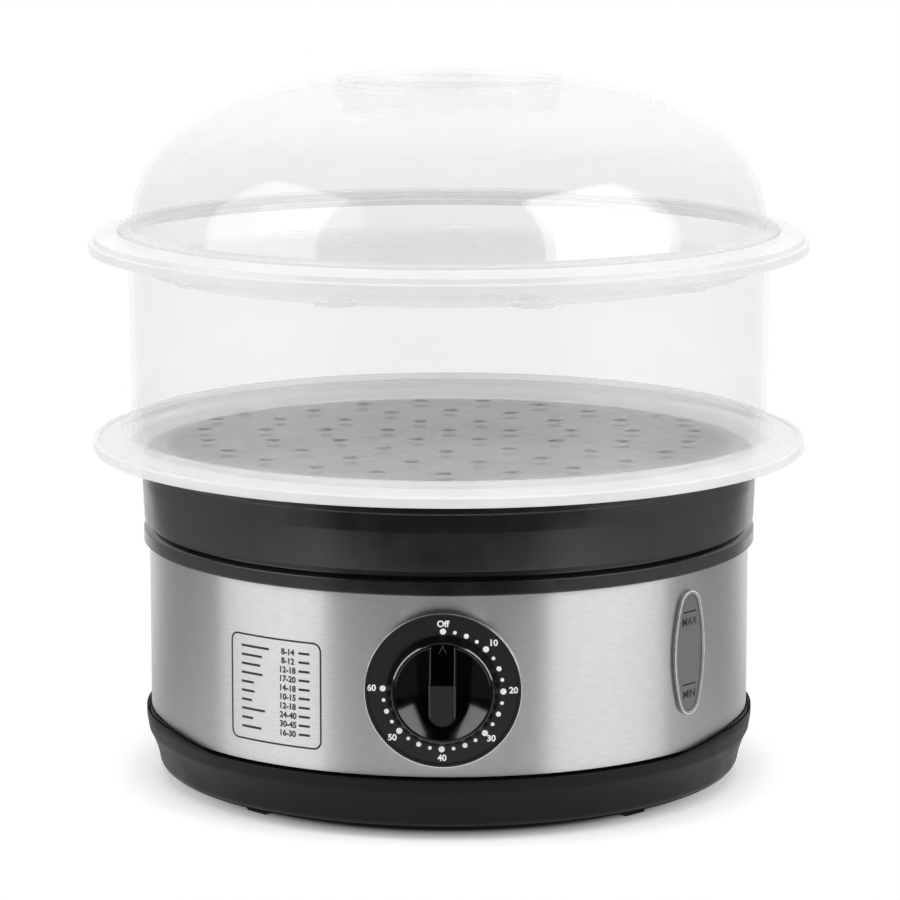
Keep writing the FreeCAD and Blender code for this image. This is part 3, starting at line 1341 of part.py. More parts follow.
def make_lower_tray():
    body = new_body("lower_tray")
    edge_r = "deep_flange_r - deep_lip_round"
    ledge_r = edge_r + " - deep_ledge_w"
    low_in_r = "deep_low_r - deep_wall"
    high_in_r = "deep_high_r - deep_wall"
    ring(body, [
        (0, "deep_floor"),
        (low_in_r, "deep_floor"),
        (low_in_r, "drip_seat"),
        ("deep_low_r", "drip_seat"),
        ("deep_high_r", "deep_under"),
        (ledge_r + " - deep_wall / 2", "deep_under"),
        (ledge_r, "deep_lip"),
        ("deep_flange_r", "deep_lip"),
        ("deep_flange_r", "deep_ledge - deep_lip_round", "deep_lip_round"),
        (edge_r, "deep_ledge"),
        (ledge_r, "deep_ledge"),
        (ledge_r + " - lip_bevel", "deep_ledge + deep_ledge_high"),
        ("nest_r + lip_bevel", "deep_crest"),
        ("nest_r", "deep_crest - lip_bevel"),
        ("nest_r", "nest_z"),
        (high_in_r, "nest_z"),
        (high_in_r, "deep_under"),
        (low_in_r, "deep_floor + deep_wall"),
        (0, "deep_floor + deep_wall"),
    ])
    add_steam_holes(body, "deep_floor", "deep_wall", "deep_hole_rings")
    return body


def make_upper_tray():
    body = new_body("upper_tray")
    ring(body, [
        (0, "shallow_floor"),
        ("shallow_low_r", "shallow_floor"),
        ("shallow_high_r", "nest_z"),
        ("rim_r", "nest_z"),
        ("rim_r", "lid_seat"),
        ("shallow_high_r - shallow_wall", "lid_seat"),
        ("shallow_low_r - shallow_wall", "shallow_floor + shallow_wall"),
        (0, "shallow_floor + shallow_wall"),
    ])
    add_steam_holes(body, "shallow_floor", "shallow_wall", "shallow_hole_rings")
    place_x = "egg_ring_r * sin(egg_azimuth * 1 deg)"
    place_y = "-egg_ring_r * cos(egg_azimuth * 1 deg)"
    bottom = "shallow_floor - egg_cup_deep"
    cup = pad(body, new_sketch(body, "XY_Plane", [("circle", place_x, place_y, "egg_cup_r")], bottom),
              "egg_cup_deep")
    polar(body, [cup], "egg_count")
    hollow = [("circle", place_x, place_y, "egg_cup_r - shallow_wall")]
    dent = pocket(body, new_sketch(body, "XY_Plane", hollow, bottom + " + shallow_wall"),
                  "egg_cup_deep")
    polar(body, [dent], "egg_count")
    return body


def dome_arcs(skin, edge_r):
    """Crown, shoulder and corner arcs of the dome, at a depth of skin below the outside."""
    crown_z = "crown_z + sqrt((lid_crown_r - %s) ^ 2 - (%s) ^ 2)" % (skin, edge_r)
    return [
        ("lid_wall_r - " + skin, "corner_z", "lid_corner_r - " + skin),
        ("corner_join_r - %s * corner_lean" % skin, "corner_join_z - %s * corner_lift" % skin,
         "lid_shoulder_r - " + skin),
        ("crown_join_r - %s * crown_lean" % skin, "crown_join_z - %s * crown_lift" % skin,
         "lid_crown_r - " + skin),
        (edge_r, crown_z),
    ]


def make_lid():
    body = new_body("lid")
    outside = dome_arcs("0 * lid_skin", "dish_r")
    inside = dome_arcs("lid_skin", "dish_r - lid_skin / 2")
    backward = [(spot[0], spot[1], "-(%s)" % inside[index - 1][2]) if index else spot[:2]
                for index, spot in enumerate(inside)]
    inner_floor_r = "dish_r - dish_draft - lid_skin"
    outline = [
        ("lid_wall_r - lid_skin", "lid_seat"),
        ("rim_r", "lid_seat"),
        ("rim_r", "lid_seat + lid_rim_thick"),
        ("lid_wall_r", "lid_seat + lid_rim_thick"),
    ]
    outline += outside
    outline += [
        ("dish_r - lid_skin", "dish_edge"),
        ("dish_r - dish_draft", "dish_floor"),
        (0, "dish_floor"),
        (0, "dish_floor - lid_skin"),
        ("dish_r - dish_draft", "dish_floor - lid_skin"),
    ]
    outline += backward[::-1]
    ring(body, outline)
    add_grip(body)
    steam = [("circle", "steam_hole_x", 0, "steam_hole_r")]
    pocket(body, new_sketch(body, "XY_Plane", steam, "dish_floor - dish_deep"), "2 * dish_deep")
    return body


def add_grip(body):
    """Bar from side to side of the recess, with room for fingers before and behind it."""
    reach = "dish_r - lid_skin - dish_draft / 2"
    bar = box_outline("0 - (%s)" % reach, "-grip_half_w", reach, "grip_half_w")
    pad(body, new_sketch(body, "XY_Plane", [bar], "dish_floor"), "dish_deep - grip_drop")


# ---------------------------------------------------------------- build, check and write

MAKERS = (
    make_base_skirt, make_bottom_cover, make_feet, make_base_screws, make_cord_gland,
    make_terminal_block, make_steel_sleeve, make_trim_ring, make_water_tank, make_window_bezel,
    make_window_pane, make_window_gasket, make_heater_plate, make_heater_gasket, make_heater_nut,
    make_heating_element, make_thermostat, make_thermal_fuse, make_steam_diffuser,
    make_dial_plate, make_timer_screws, make_timer_frame, make_shaft_bush, make_timer_case,
    make_timer_shaft, make_main_gear, make_switch_cam, make_contact_blades, make_timer_bell,
    make_bell_stud, make_timer_knob, make_drip_tray, make_lower_tray, make_upper_tray, make_lid,
)


def check_document(nodes):
    for item in document.Objects:
        if "Invalid" in item.State or "Error" in item.State:
            raise RuntimeError("%s failed: %s" % (item.Name, item.State))
        if item.TypeId in ("PartDesign::Pocket", "PartDesign::Groove"):
            if item.Shape.Volume > item.BaseFeature.Shape.Volume - TOLERANCE:
                raise RuntimeError("%s cuts nothing" % item.Name)
    for node in nodes:
        if node.Shape.isNull() or not node.Shape.isValid() or not node.Shape.Solids:
            raise RuntimeError("%s has no valid shape" % node.Label)


def write_parts(nodes):
    os.makedirs("parts", exist_ok=True)
    for node in nodes:
        node.Shape.exportStep(os.path.join("parts", node.Label + ".step"))
        print("%-18s %2d solids %10.1f mm3" % (node.Label, len(node.Shape.Solids), node.Shape.Volume))


fill_sheet()
all_nodes = [make() for make in MAKERS]
document.recompute()
check_document(all_nodes)
write_parts(all_nodes)
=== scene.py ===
import json
import math

import bpy
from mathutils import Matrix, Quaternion, Vector


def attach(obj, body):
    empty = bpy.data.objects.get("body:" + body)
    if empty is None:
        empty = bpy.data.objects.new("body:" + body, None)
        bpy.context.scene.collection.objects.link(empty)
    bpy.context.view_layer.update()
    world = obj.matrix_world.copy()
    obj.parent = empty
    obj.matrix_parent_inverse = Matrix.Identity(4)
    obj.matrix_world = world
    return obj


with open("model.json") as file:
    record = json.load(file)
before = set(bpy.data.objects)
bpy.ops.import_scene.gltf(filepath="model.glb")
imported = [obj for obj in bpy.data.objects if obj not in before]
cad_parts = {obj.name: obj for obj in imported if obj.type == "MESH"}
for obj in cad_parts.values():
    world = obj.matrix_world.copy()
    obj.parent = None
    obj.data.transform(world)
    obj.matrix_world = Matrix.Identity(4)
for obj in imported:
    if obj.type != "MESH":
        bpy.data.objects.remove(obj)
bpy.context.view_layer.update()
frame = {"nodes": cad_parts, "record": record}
NODES = frame["nodes"]

MM = 0.001

# Places on the CAD model, in millimetres and degrees. Azimuths run from the front to the right.
STEEL_R = 117.5
DIAL_FACE = 119.6
DIAL_Z = 59.0
DIAL_R = 29.1
KNOB_INNER_R = 17.7
KNOB_OUTER_R = 18.75
KNOB_SIDE_R = 19.0
BAR_HALF_W = 5.0
BAR_RIDGE_DEPTH = 136.6
BAR_RIDGE_UP = 5.7
BAR_TOP_DEPTH = 125.0
BAR_TOP_UP = 18.5
PANE_R = 118.2
PANE_AZIMUTH = 51.3
SKIRT_EDGE_Z = 6.0
TRAY_RING_R = 126.5
DRIP_RING_R = 127.5
LID_RECESS_R = 49.0

# The middle of the window, in metres.
PANE_CENTRE = (0.0922, -0.0739, 0.0653)

# Most of a noise lies between these two numbers.
NOISE_SPREAD = (0.3, 0.7)


# ---------------------------------------------------------------- node trees


class Tree:
    """A node tree with short calls: a number, colour or socket may be given for any input."""

    def __init__(self, owner):
        owner.use_nodes = True
        self.nodes = owner.node_tree.nodes
        self.links = owner.node_tree.links
        self.nodes.clear()

    def add(self, kind, inputs=None, **settings):
        node = self.nodes.new("ShaderNode" + kind)
        for name, setting in settings.items():
            setattr(node, name, setting)
        for name, given in (inputs or {}).items():
            self.give(node.inputs[name], given)
        return node

    def give(self, socket, given):
        if isinstance(given, bpy.types.NodeSocket):
            self.links.new(given, socket)
        elif isinstance(given, (tuple, list)) and socket.type == "RGBA":
            socket.default_value = (*given[:3], 1.0)
        else:
            socket.default_value = given

    def math(self, operation, first, second=0.0, clamp=False):
        node = self.add("Math", {0: first, 1: second}, operation=operation, use_clamp=clamp)
        return node.outputs[0]

    def span(self, socket, low, high, from_low, from_high):
        """The socket's number moved from one range into another."""
        node = self.add("MapRange", {
            "Value": socket, "From Min": from_low, "From Max": from_high,
            "To Min": low, "To Max": high,
        })
        return node.outputs["Result"]

    def ramp(self, socket, stops):
        """Grey that follows (place, level) stops."""
        low, high = stops[0][0], stops[-1][0]
        ramp = self.add("ValToRGB", {"Fac": self.span(socket, 0.0, 1.0, low, high)})
        elements = ramp.color_ramp.elements
        while len(elements) < len(stops):
            elements.new(0.5)
        for element, (place, level) in zip(elements, stops):
            element.position = (place - low) / (high - low)
            element.color = (level, level, level, 1.0)
        return ramp.outputs["Color"]

    def blend(self, factor, first, second):
        node = self.add("Mix", data_type="RGBA")
        self.give(node.inputs["Factor"], factor)
        self.give(node.inputs["A"], first)
        self.give(node.inputs["B"], second)
        return node.outputs["Result"]

    def here(self):
        """Places on the piece, in metres."""
        return self.add("TexCoord").outputs["Object"]

    def vectors(self, operation, first, second=(0.0, 0.0, 0.0)):
        return self.add("VectorMath", {0: first, 1: second}, operation=operation)

    def noise(self, vector, scale, detail, roughness=0.5):
        node = self.add("TexNoise", {
            "Vector": vector, "Scale": scale, "Detail": detail, "Roughness": roughness,
        })
        return node.outputs["Fac"]

    def noise_between(self, vector, low, high, scale, detail):
        """Noise that lies mostly between low and high."""
        return self.span(self.noise(vector, scale, detail), low, high, *NOISE_SPREAD)

    def apart(self, vector):
        return self.add("SeparateXYZ", {0: vector}).outputs

    def within(self, socket, middle, reach):
        """One where the socket's length in metres is within reach of middle, in millimetres."""
        away = self.math("ABSOLUTE", self.math("SUBTRACT", socket, middle * MM))
        return self.math("LESS_THAN", away, reach * MM)

    def shared(self, first, second, share):
        """The first times its share, and the second times what is left."""
        return self.math("ADD", self.math("MULTIPLY", first, share),
                         self.math("MULTIPLY", second, 1.0 - share))

    def length(self, first, second):
        squares = [self.math("MULTIPLY", part, part) for part in (first, second)]
        return self.math("SQRT", self.math("ADD", *squares))

    def around(self, vector, turn, across, along):
        """Azimuth, radius and height about the vertical axis, each times its own factor."""
        x, y, z = self.apart(vector)
        azimuth = self.math("ARCTAN2", x, y)
        joined = self.add("CombineXYZ", {
            0: self.math("MULTIPLY", azimuth, turn),
            1: self.math("MULTIPLY", self.length(x, y), across),
            2: self.math("MULTIPLY", z, along),
        })
        return joined.outputs[0]

    def bump(self, height, strength, distance, normal=None):
        inputs = {"Height": height, "Strength": strength, "Distance": distance}
        if normal is not None:
            inputs["Normal"] = normal
        return self.add("Bump", inputs).outputs[0]

    def soft_edge(self, radius):
        return self.add("Bevel", {"Radius": radius}, samples=4).outputs[0]

    def mixed(self, factor, first, second):
        return self.add("MixShader", {0: factor, 1: first, 2: second}).outputs[0]

    def finish(self, shader):
        out = self.add("OutputMaterial")
        self.links.new(shader, out.inputs["Surface"])


def new_material(name):
    material = bpy.data.materials.new(name)
    return material, Tree(material)


def tinted(colour, gain):
    return tuple(gain * part for part in colour)


def plastic(name, colour, roughness, grain, edge=0.0003, specular=0.5, painted_shade_below=None):
    """Moulded plastic: a fine grain, faint clouding of colour and gloss, softened edges. Given a
    height in millimetres, the faces that look up and those under that height are painted near-black
    matt as shade."""
    material, t = new_material(name)
    at = t.here()
    clouds = t.noise(at, scale=38.0, detail=3.0)
    flecks = t.noise(at, scale=900.0, detail=2.0)
    tone = t.blend(t.shared(clouds, flecks, 0.6), tinted(colour, 0.82), tinted(colour, 1.15))
    gloss = t.noise_between(at, roughness - 0.05, roughness + 0.05, scale=90.0, detail=4.0)
    normal = t.bump(t.noise(at, scale=2600.0, detail=1.0), grain, 0.0001, t.soft_edge(edge))
    shader = t.add("BsdfPrincipled", {
        "Base Color": tone, "Roughness": gloss, "Normal": normal,
        "Specular IOR Level": specular,
    }).outputs[0]
    # Painted shade: near-black matt on faces lit from above and along the bottom edge, standing in
    # for the shadow in the groove by the steel and under the toe.
    if painted_shade_below is not None:
        facing_up = t.apart(t.add("NewGeometry").outputs["Normal"])[2]
        above = t.span(facing_up, 0.0, 1.0, 0.45, 0.75)
        below = t.span(t.apart(at)[2], 1.0, 0.0, (painted_shade_below - 0.3) * MM, painted_shade_below * MM)
        painted_shade = t.add("BsdfPrincipled", {
            "Base Color": (0.0008, 0.0008, 0.0008), "Roughness": 0.8, "Specular IOR Level": 0.02,
        }).outputs[0]
        shader = t.mixed(t.math("MAXIMUM", above, below), shader, painted_shade)
    t.finish(shader)
    return material


def metal(name, colour, roughness, streak):
    """Plain metal with faint mottling and lathe marks."""
    material, t = new_material(name)
    at = t.here()
    mottle = t.noise(at, scale=160.0, detail=4.0)
    tone = t.blend(mottle, tinted(colour, 0.88), tinted(colour, 1.06))
    gloss = t.noise_between(at, roughness - 0.06, roughness + 0.06, scale=420.0, detail=3.0)
    lines = t.noise(t.around(at, turn=3.0, across=2200.0, along=2200.0), scale=1.0, detail=2.0)
    normal = t.bump(lines, streak, 0.00005, t.soft_edge(0.0002))
    shader = t.add("BsdfPrincipled", {
        "Base Color": tone, "Metallic": 1.0, "Roughness": gloss, "Normal": normal,
    })
    t.finish(shader.outputs[0])
    return material


def brushed_steel(name):
    """Sheet brushed round its axis: highlights stand upright and the scratches run level."""
    material, t = new_material(name)
    at = t.here()
    fine = t.noise(t.around(at, turn=30.0, across=0.0, along=3600.0), 1.0, 3.0, roughness=0.65)
    broad = t.noise(t.around(at, turn=20.0, across=0.0, along=1300.0), 1.0, 2.0)
    grain = t.shared(fine, broad, 0.6)
    lighter = t.span(grain, 0.0, 1.0, *NOISE_SPREAD)
    tone = t.blend(lighter, (0.545, 0.545, 0.55), (0.675, 0.675, 0.678))
    gloss = t.span(fine, 0.30, 0.38, *NOISE_SPREAD)
    tangent = t.add("Tangent", direction_type="RADIAL", axis="Z").outputs[0]
    normal = t.bump(grain, 0.05, 0.00004)
    shader = t.add("BsdfPrincipled", {
        "Base Color": tone, "Metallic": 1.0, "Roughness": gloss, "Normal": normal,
        "Anisotropic": 1.0, "Anisotropic Rotation": 0.25, "Tangent": tangent,
    })
    t.finish(shader.outputs[0])
    return material


def clear_plastic(name, veils, ring_from, roughness, body, satin_in=0.0):
    """See-through moulded plastic with a milky veil, thin on walls, thicker on level faces and
    outside ring_from, and glossy but for a satin middle of radius satin_in, in millimetres.
    veils are for walls, slanted views, level faces and the ring."""
    wall, slanted, level, ring = veils
    material, t = new_material(name)
    at = t.here()
    x, y, _ = t.apart(at)
    facing_up = t.math("ABSOLUTE", t.apart(t.add("NewGeometry").outputs["Normal"])[2])
    slant = t.add("LayerWeight", {"Blend": 0.5}).outputs["Facing"]
    clouds = t.noise_between(at, 0.92, 1.08, scale=34.0, detail=2.0)
    thin = t.math("ADD", wall, t.math("MULTIPLY", t.math("POWER", slant, 3.0), slanted))
    flat = t.span(facing_up, 0.0, level, 0.6, 0.95)
    from_axis = t.length(x, y)
    rim = t.span(from_axis, 0.0, ring, ring_from * MM, (ring_from + 1.0) * MM)
    thickest = t.math("MAXIMUM", t.math("MAXIMUM", thin, flat), rim)
    veil = t.math("MULTIPLY", thickest, clouds, clamp=True)
    normal = t.bump(t.noise(at, scale=260.0, detail=2.0), 0.004, 0.0002)
    through = t.add("BsdfTransparent", {"Color": (0.994, 0.994, 0.994)})
    front = t.add("BsdfDiffuse", {"Color": body, "Normal": normal})
    behind = t.add("BsdfTranslucent", {"Color": body, "Normal": normal})
    milk = t.mixed(0.45, front.outputs[0], behind.outputs[0])
    core = t.mixed(veil, through.outputs[0], milk)
    shine = t.math("ADD", t.math("MULTIPLY", t.math("POWER", slant, 5.0), 0.2), 0.03, clamp=True)
    blur = t.noise_between(at, 0.75 * roughness, 1.25 * roughness, scale=120.0, detail=3.0)
    satin = t.span(from_axis, 0.5, 0.0, (satin_in - 2.0) * MM, satin_in * MM)
    gloss = t.add("BsdfGlossy", {
        "Color": (1, 1, 1), "Normal": normal, "Roughness": t.math("ADD", blur, satin),
    })
    t.finish(t.mixed(shine, core, gloss.outputs[0]))
    return material


def knob_plastic(name):
    """Piano black with the finest of scratches: mirror-like on the face, satin on the side, and
    brightly polished along the bar's edges and the rim's."""
    material, t = new_material(name)
    at = t.here()
    x, y, z = t.apart(at)
    from_shaft = t.length(x, t.math("SUBTRACT", z, DIAL_Z * MM))
    side = t.span(from_shaft, 0.0, 0.3, KNOB_SIDE_R * MM, (KNOB_SIDE_R + 0.2) * MM)
    gloss = t.math("ADD", t.noise_between(at, 0.08, 0.12, scale=160.0, detail=4.0), side)
    clouds = t.noise(at, scale=60.0, detail=3.0)
    tone = t.blend(clouds, (0.0003, 0.0003, 0.0003), (0.0008, 0.0008, 0.0008))
    normal = t.bump(t.noise(at, scale=1800.0, detail=1.0), 0.02, 0.00005, t.soft_edge(0.0003))
    face, polished = [t.add("BsdfPrincipled", {
        "Base Color": tone, "Roughness": gloss, "Normal": normal, "Specular IOR Level": specular,
    }).outputs[0] for specular in (0.08, 0.45)]
    inner, outer = [t.within(from_shaft, reach, 0.3) for reach in (KNOB_INNER_R, KNOB_OUTER_R)]
    beside = t.within(t.math("ABSOLUTE", x), BAR_HALF_W, 0.7)
    proud = t.span(y, 1.0, 0.0, -(BAR_TOP_DEPTH + 1.5) * MM, -(BAR_TOP_DEPTH + 1.0) * MM)
    high = t.span(z, 0.0, 1.0, (DIAL_Z + 2) * MM, (DIAL_Z + 5) * MM)
    rim = t.math("MAXIMUM", outer, t.math("MULTIPLY", inner, high))
    edges = t.math("MAXIMUM", rim, t.math("MULTIPLY", beside, proud))
    t.finish(t.mixed(edges, face, polished))
    return material


def dial_face_plastic(name):
    """Finely grained black plate with a thin bright edge."""
    material, t = new_material(name)
    at = t.here()
    x, _, z = t.apart(at)
    from_shaft = t.length(x, t.math("SUBTRACT", z, DIAL_Z * MM))
    clouds = t.noise(at, scale=60.0, detail=3.0)
    tone = t.blend(clouds, (0.006, 0.006, 0.0061), (0.0078, 0.0078, 0.0079))
    gloss = t.noise_between(at, 0.37, 0.47, scale=200.0, detail=3.0)
    normal = t.bump(t.noise(at, scale=2600.0, detail=1.0), 0.05, 0.0001, t.soft_edge(0.0003))
    plate = t.add("BsdfPrincipled", {
        "Base Color": tone, "Roughness": gloss, "Normal": normal, "Specular IOR Level": 0.4,
    })
    bright = t.add("BsdfPrincipled", {
        "Base Color": (0.75, 0.75, 0.75), "Metallic": 1.0, "Roughness": 0.2, "Normal": normal,
    })
    edge = t.math("GREATER_THAN", from_shaft, (DIAL_R - 0.3) * MM)
    t.finish(t.mixed(edge, plate.outputs[0], bright.outputs[0]))
    return material


def bezel_plastic(name):
    """Satin grey frame whose rounded outer edge is painted near white as a highlight."""
    material, t = new_material(name)
    at = t.here()
    softened = t.add("Bevel", {"Radius": 0.0006}, samples=8).outputs[0]
    tilt = t.vectors("SUBTRACT", softened, t.add("NewGeometry").outputs["Normal"]).outputs[0]
    outward = t.vectors("NORMALIZE", t.vectors("SUBTRACT", at, PANE_CENTRE).outputs[0]).outputs[0]
    edge = t.vectors("DOT_PRODUCT", tilt, outward).outputs["Value"]
    clouds = t.noise_between(at, 0.9, 1.1, scale=300.0, detail=3.0)
    # Painted highlight: the grey rises from 0.24 to 0.95 where the softened normal leans outward,
    # on the rounded outer edge.
    grey = t.math("MULTIPLY", clouds, t.span(edge, 0.24, 0.95, 0.03, 0.22))
    shader = t.add("BsdfPrincipled", {
        "Base Color": t.add("CombineColor", {0: grey, 1: grey, 2: grey}).outputs[0],
        "Roughness": t.noise_between(at, 0.2, 0.3, scale=500.0, detail=2.0), "Normal": softened,
    })
    t.finish(shader.outputs[0])
    return material


def ink(name, colour, roughness=0.45):
    """Printed ink with a slightly uneven coat."""
    material, t = new_material(name)
    at = t.here()
    tone = t.blend(t.noise(at, scale=700.0, detail=3.0), tinted(colour, 0.9), colour)
    gloss = t.noise_between(at, roughness - 0.06, roughness + 0.06, scale=500.0, detail=2.0)
    shader = t.add("BsdfPrincipled", {"Base Color": tone, "Roughness": gloss})
    t.finish(shader.outputs[0])
    return material


# ---------------------------------------------------------------- meshes for the printed marks


BAR_STEP = 2.0
DISC_SIDES = 28
CORNER_STEPS = 6
FRAME_CUTS = 10


class Sheet:
    """Collects flat shapes, each with a small thickness, in (across, up, out) millimetres."""

    def __init__(self):
        self.points = []
        self.faces = []

    def prism(self, outline, thick):
        """A closed slab with the given outline, anticlockwise."""
        start = len(self.points)
        count = len(outline)
        self.points += [(u, v, 0.0) for u, v in outline]
        self.points += [(u, v, thick) for u, v in outline]
        self.faces.append([start + i for i in reversed(range(count))])
        self.faces.append([start + count + i for i in range(count)])
        for i in range(count):
            j = (i + 1) % count
            self.faces.append([start + i, start + j, start + count + j, start + count + i])

    def ring(self, outer, inner, thick):
        """A closed frame between two outlines with as many points."""
        start = len(self.points)
        count = len(outer)
        for outline, height in ((outer, 0.0), (inner, 0.0), (inner, thick), (outer, thick)):
            self.points += [(u, v, height) for u, v in outline]
        for i in range(count):
            j = (i + 1) % count
            for loop in range(4):
                low = start + loop * count
                high = start + (loop + 1) % 4 * count
                self.faces.append([low + j, low + i, high + i, high + j])

    def bar(self, left, right, middle, high, thick):
        """A level bar cut into short lengths, so that it can follow a curved wall."""
        start = len(self.points)
        cuts = max(1, math.ceil((right - left) / BAR_STEP))
        for i in range(cuts + 1):
            u = left + (right - left) * i / cuts
            self.points += [(u, middle + side * high / 2, out)
                            for side, out in ((-1, 0.0), (1, 0.0), (1, thick), (-1, thick))]
        for first in range(start, start + 4 * cuts, 4):
            self.faces += [[first + a, first + b, first + 4 + b, first + 4 + a]
                           for a, b in ((0, 1), (1, 2), (2, 3), (3, 0))]
        last = start + 4 * cuts
        self.faces.append([start + i for i in (3, 2, 1, 0)])
        self.faces.append([last + i for i in (0, 1, 2, 3)])

    def disc(self, centre, radius, thick):
        angles = [math.tau * i / DISC_SIDES for i in range(DISC_SIDES)]
        self.prism([(centre[0] + radius * math.cos(angle), centre[1] + radius * math.sin(angle))
                    for angle in angles], thick)

    def words(self, text, centre, size, thick, weight):
        """Plain characters about a centre, of the given font size. weight thickens the strokes."""
        curve = bpy.data.curves.new("words", "FONT")
        curve.body = text
        curve.size = size
        curve.align_x = "CENTER"
        curve.align_y = "CENTER"
        curve.offset = weight
        curve.extrude = thick / 2
        curve.resolution_u = 4
        holder = bpy.data.objects.new("words", curve)
        bpy.context.scene.collection.objects.link(holder)
        bpy.context.view_layer.update()
        shaped = holder.evaluated_get(bpy.context.evaluated_depsgraph_get())
        made = bpy.data.meshes.new_from_object(shaped)
        start = len(self.points)
        places = [v.co for v in made.vertices]
        across = [place.x for place in places]
        up = [place.y for place in places]
        middle = ((min(across) + max(across)) / 2, (min(up) + max(up)) / 2)
        self.points += [(x - middle[0] + centre[0], y - middle[1] + centre[1], z + thick / 2)
                        for x, y, z in places]
        self.faces += [[start + i for i in face.vertices] for face in made.polygons]
        bpy.data.objects.remove(holder)
        bpy.data.curves.remove(curve)
        bpy.data.meshes.remove(made)

    def build(self, name, placed, material, body):
        """A mesh object with every point placed on the part."""
        mesh = bpy.data.meshes.new(name)
        mesh.from_pydata([placed(*point) for point in self.points], [], self.faces)
        mesh.materials.append(material)
        mesh.validate()
        made = bpy.data.objects.new(name, mesh)
        bpy.context.scene.collection.objects.link(made)
        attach(made, body)
        return made


def on_flat(face, middle_z):
    """Places points on an upright face that looks to the front."""
    def placed(across, up, out):
        return (across * MM, -(face + out) * MM, (middle_z + up) * MM)
    return placed


def on_wall(radius, azimuth):
    """Places points on a round upright wall, about an azimuth from the front."""
    def placed(across, up, out):
        angle = math.radians(azimuth) + across / radius
        reach = (radius + out) * MM
        return (reach * math.sin(angle), -reach * math.cos(angle), up * MM)
    return placed


def rounded(half_w, half_h, radius, centre):
    """An anticlockwise rounded rectangle whose level sides are cut into short lengths."""
    points = []
    reach = half_w - radius
    for side, end, start in ((1, -1, -90), (1, 1, 0), (-1, 1, 90), (-1, -1, 180)):
        middle = (side * reach, end * (half_h - radius))
        for i in range(CORNER_STEPS + 1):
            angle = math.radians(start + 90 * i / CORNER_STEPS)
            points.append((middle[0] + radius * math.cos(angle),
                           middle[1] + radius * math.sin(angle)))
        if side == end:
            points += [(side * reach * (1 - 2 * i / FRAME_CUTS), end * half_h)
                       for i in range(1, FRAME_CUTS)]
    return [(u + centre[0], v + centre[1]) for u, v in points]


# ---------------------------------------------------------------- marks

PRINT_THICK = 0.03

DOT_COUNT = 25
DOT_RING = 22.2
DOT_STEP = 11.33
DOT_RADII = (1.15, 0.7, 0.95, 0.7)
NUMERALS = {
    "Off": (0.1, 25.1), "10": (18.8, 18.1), "20": (26.0, 0.3), "30": (17.8, -17.9),
    "40": (-0.4, -25.4), "50": (-18.7, -17.7), "60": (-26.3, 1.0),
}
NUMERAL_SIZE = 3.3
NUMERAL_WEIGHT = 0.1


def dial_marks(white):
    """Dots from 0 to 60 minutes, clockwise from the top, with numerals at the tens."""
    sheet = Sheet()
    for number in range(DOT_COUNT):
        angle = math.radians(DOT_STEP * number)
        centre = (DOT_RING * math.sin(angle), DOT_RING * math.cos(angle))
        sheet.disc(centre, DOT_RADII[number % len(DOT_RADII)], PRINT_THICK)
    for text, place in NUMERALS.items():
        sheet.words(text, place, NUMERAL_SIZE, PRINT_THICK, NUMERAL_WEIGHT)
    return sheet.build("dial_scale", on_flat(DIAL_FACE, DIAL_Z), white, "base")


def knob_pointer(grey):
    """Fine arrowhead near the top of the finger bar."""
    sheet = Sheet()
    apex, foot, half_w, stroke = 18.4, 15.7, 1.4, 0.25
    for side in (-1, 1):
        corners = [(0.0, apex), (0.0, apex - 2 * stroke), (side * (half_w - stroke), foot),
                   (side * half_w, foot)]
        sheet.prism(corners if side < 0 else corners[::-1], PRINT_THICK)
    fall = (BAR_RIDGE_DEPTH - BAR_TOP_DEPTH) / (BAR_TOP_UP - BAR_RIDGE_UP)

    def placed(across, up, out):
        depth = BAR_RIDGE_DEPTH - (up - BAR_RIDGE_UP) * fall + out
        return (across * MM, -depth * MM, (DIAL_Z + up) * MM)

    return sheet.build("knob_pointer", placed, grey, "timer")


LEVELS = {"MAX": 79.25, "MIN": 51.3}
LEVEL_HALF_W = 4.0
LEVEL_HIGH = 0.6
LEVEL_WORD_DROP = 3.7
LEVEL_WORD_SIZE = 4.3
LEVEL_WORD_WEIGHT = 0.05


def window_marks(dark):
    """Level lines and their words on the window."""
    sheet = Sheet()
    for text, line in LEVELS.items():
        sheet.bar(-LEVEL_HALF_W, LEVEL_HALF_W, line, LEVEL_HIGH, PRINT_THICK)
        sheet.words(text, (0.0, line - LEVEL_WORD_DROP), LEVEL_WORD_SIZE, PRINT_THICK,
                    LEVEL_WORD_WEIGHT)
    placed = on_wall(PANE_R, PANE_AZIMUTH)
    return sheet.build("window_marks", placed, dark, "base")


CHART_AZIMUTH = -33.0
CHART_CENTRE = (0.4, 53.7)
CHART_HALF_W = 20.8
CHART_HALF_H = 20.4
CHART_CORNER_R = 3.4
CHART_LINE = 0.7
CHART_TOP_ROW = 69.4
CHART_PITCH = 3.44
CHART_BAR_HIGH = 0.9
CHART_LEFT = -15.0
CHART_TAIL = (11.6, 16.3)
MINUTES_AT = 6.9
MINUTES_SIZE = 3.2
MINUTES_WEIGHT = 0.12
# From the top row down: the length of its left bar, and its minutes.
CHART_ROWS = (
    (13.4, "8-14"), (10.0, "8-12"), (9.2, "12-18"), (10.2, "17-20"), (6.0, "14-18"),
    (6.3, "10-15"), (5.0, "12-18"), (11.3, "24-40"), (5.5, "30-45"), (9.5, "16-30"),
)


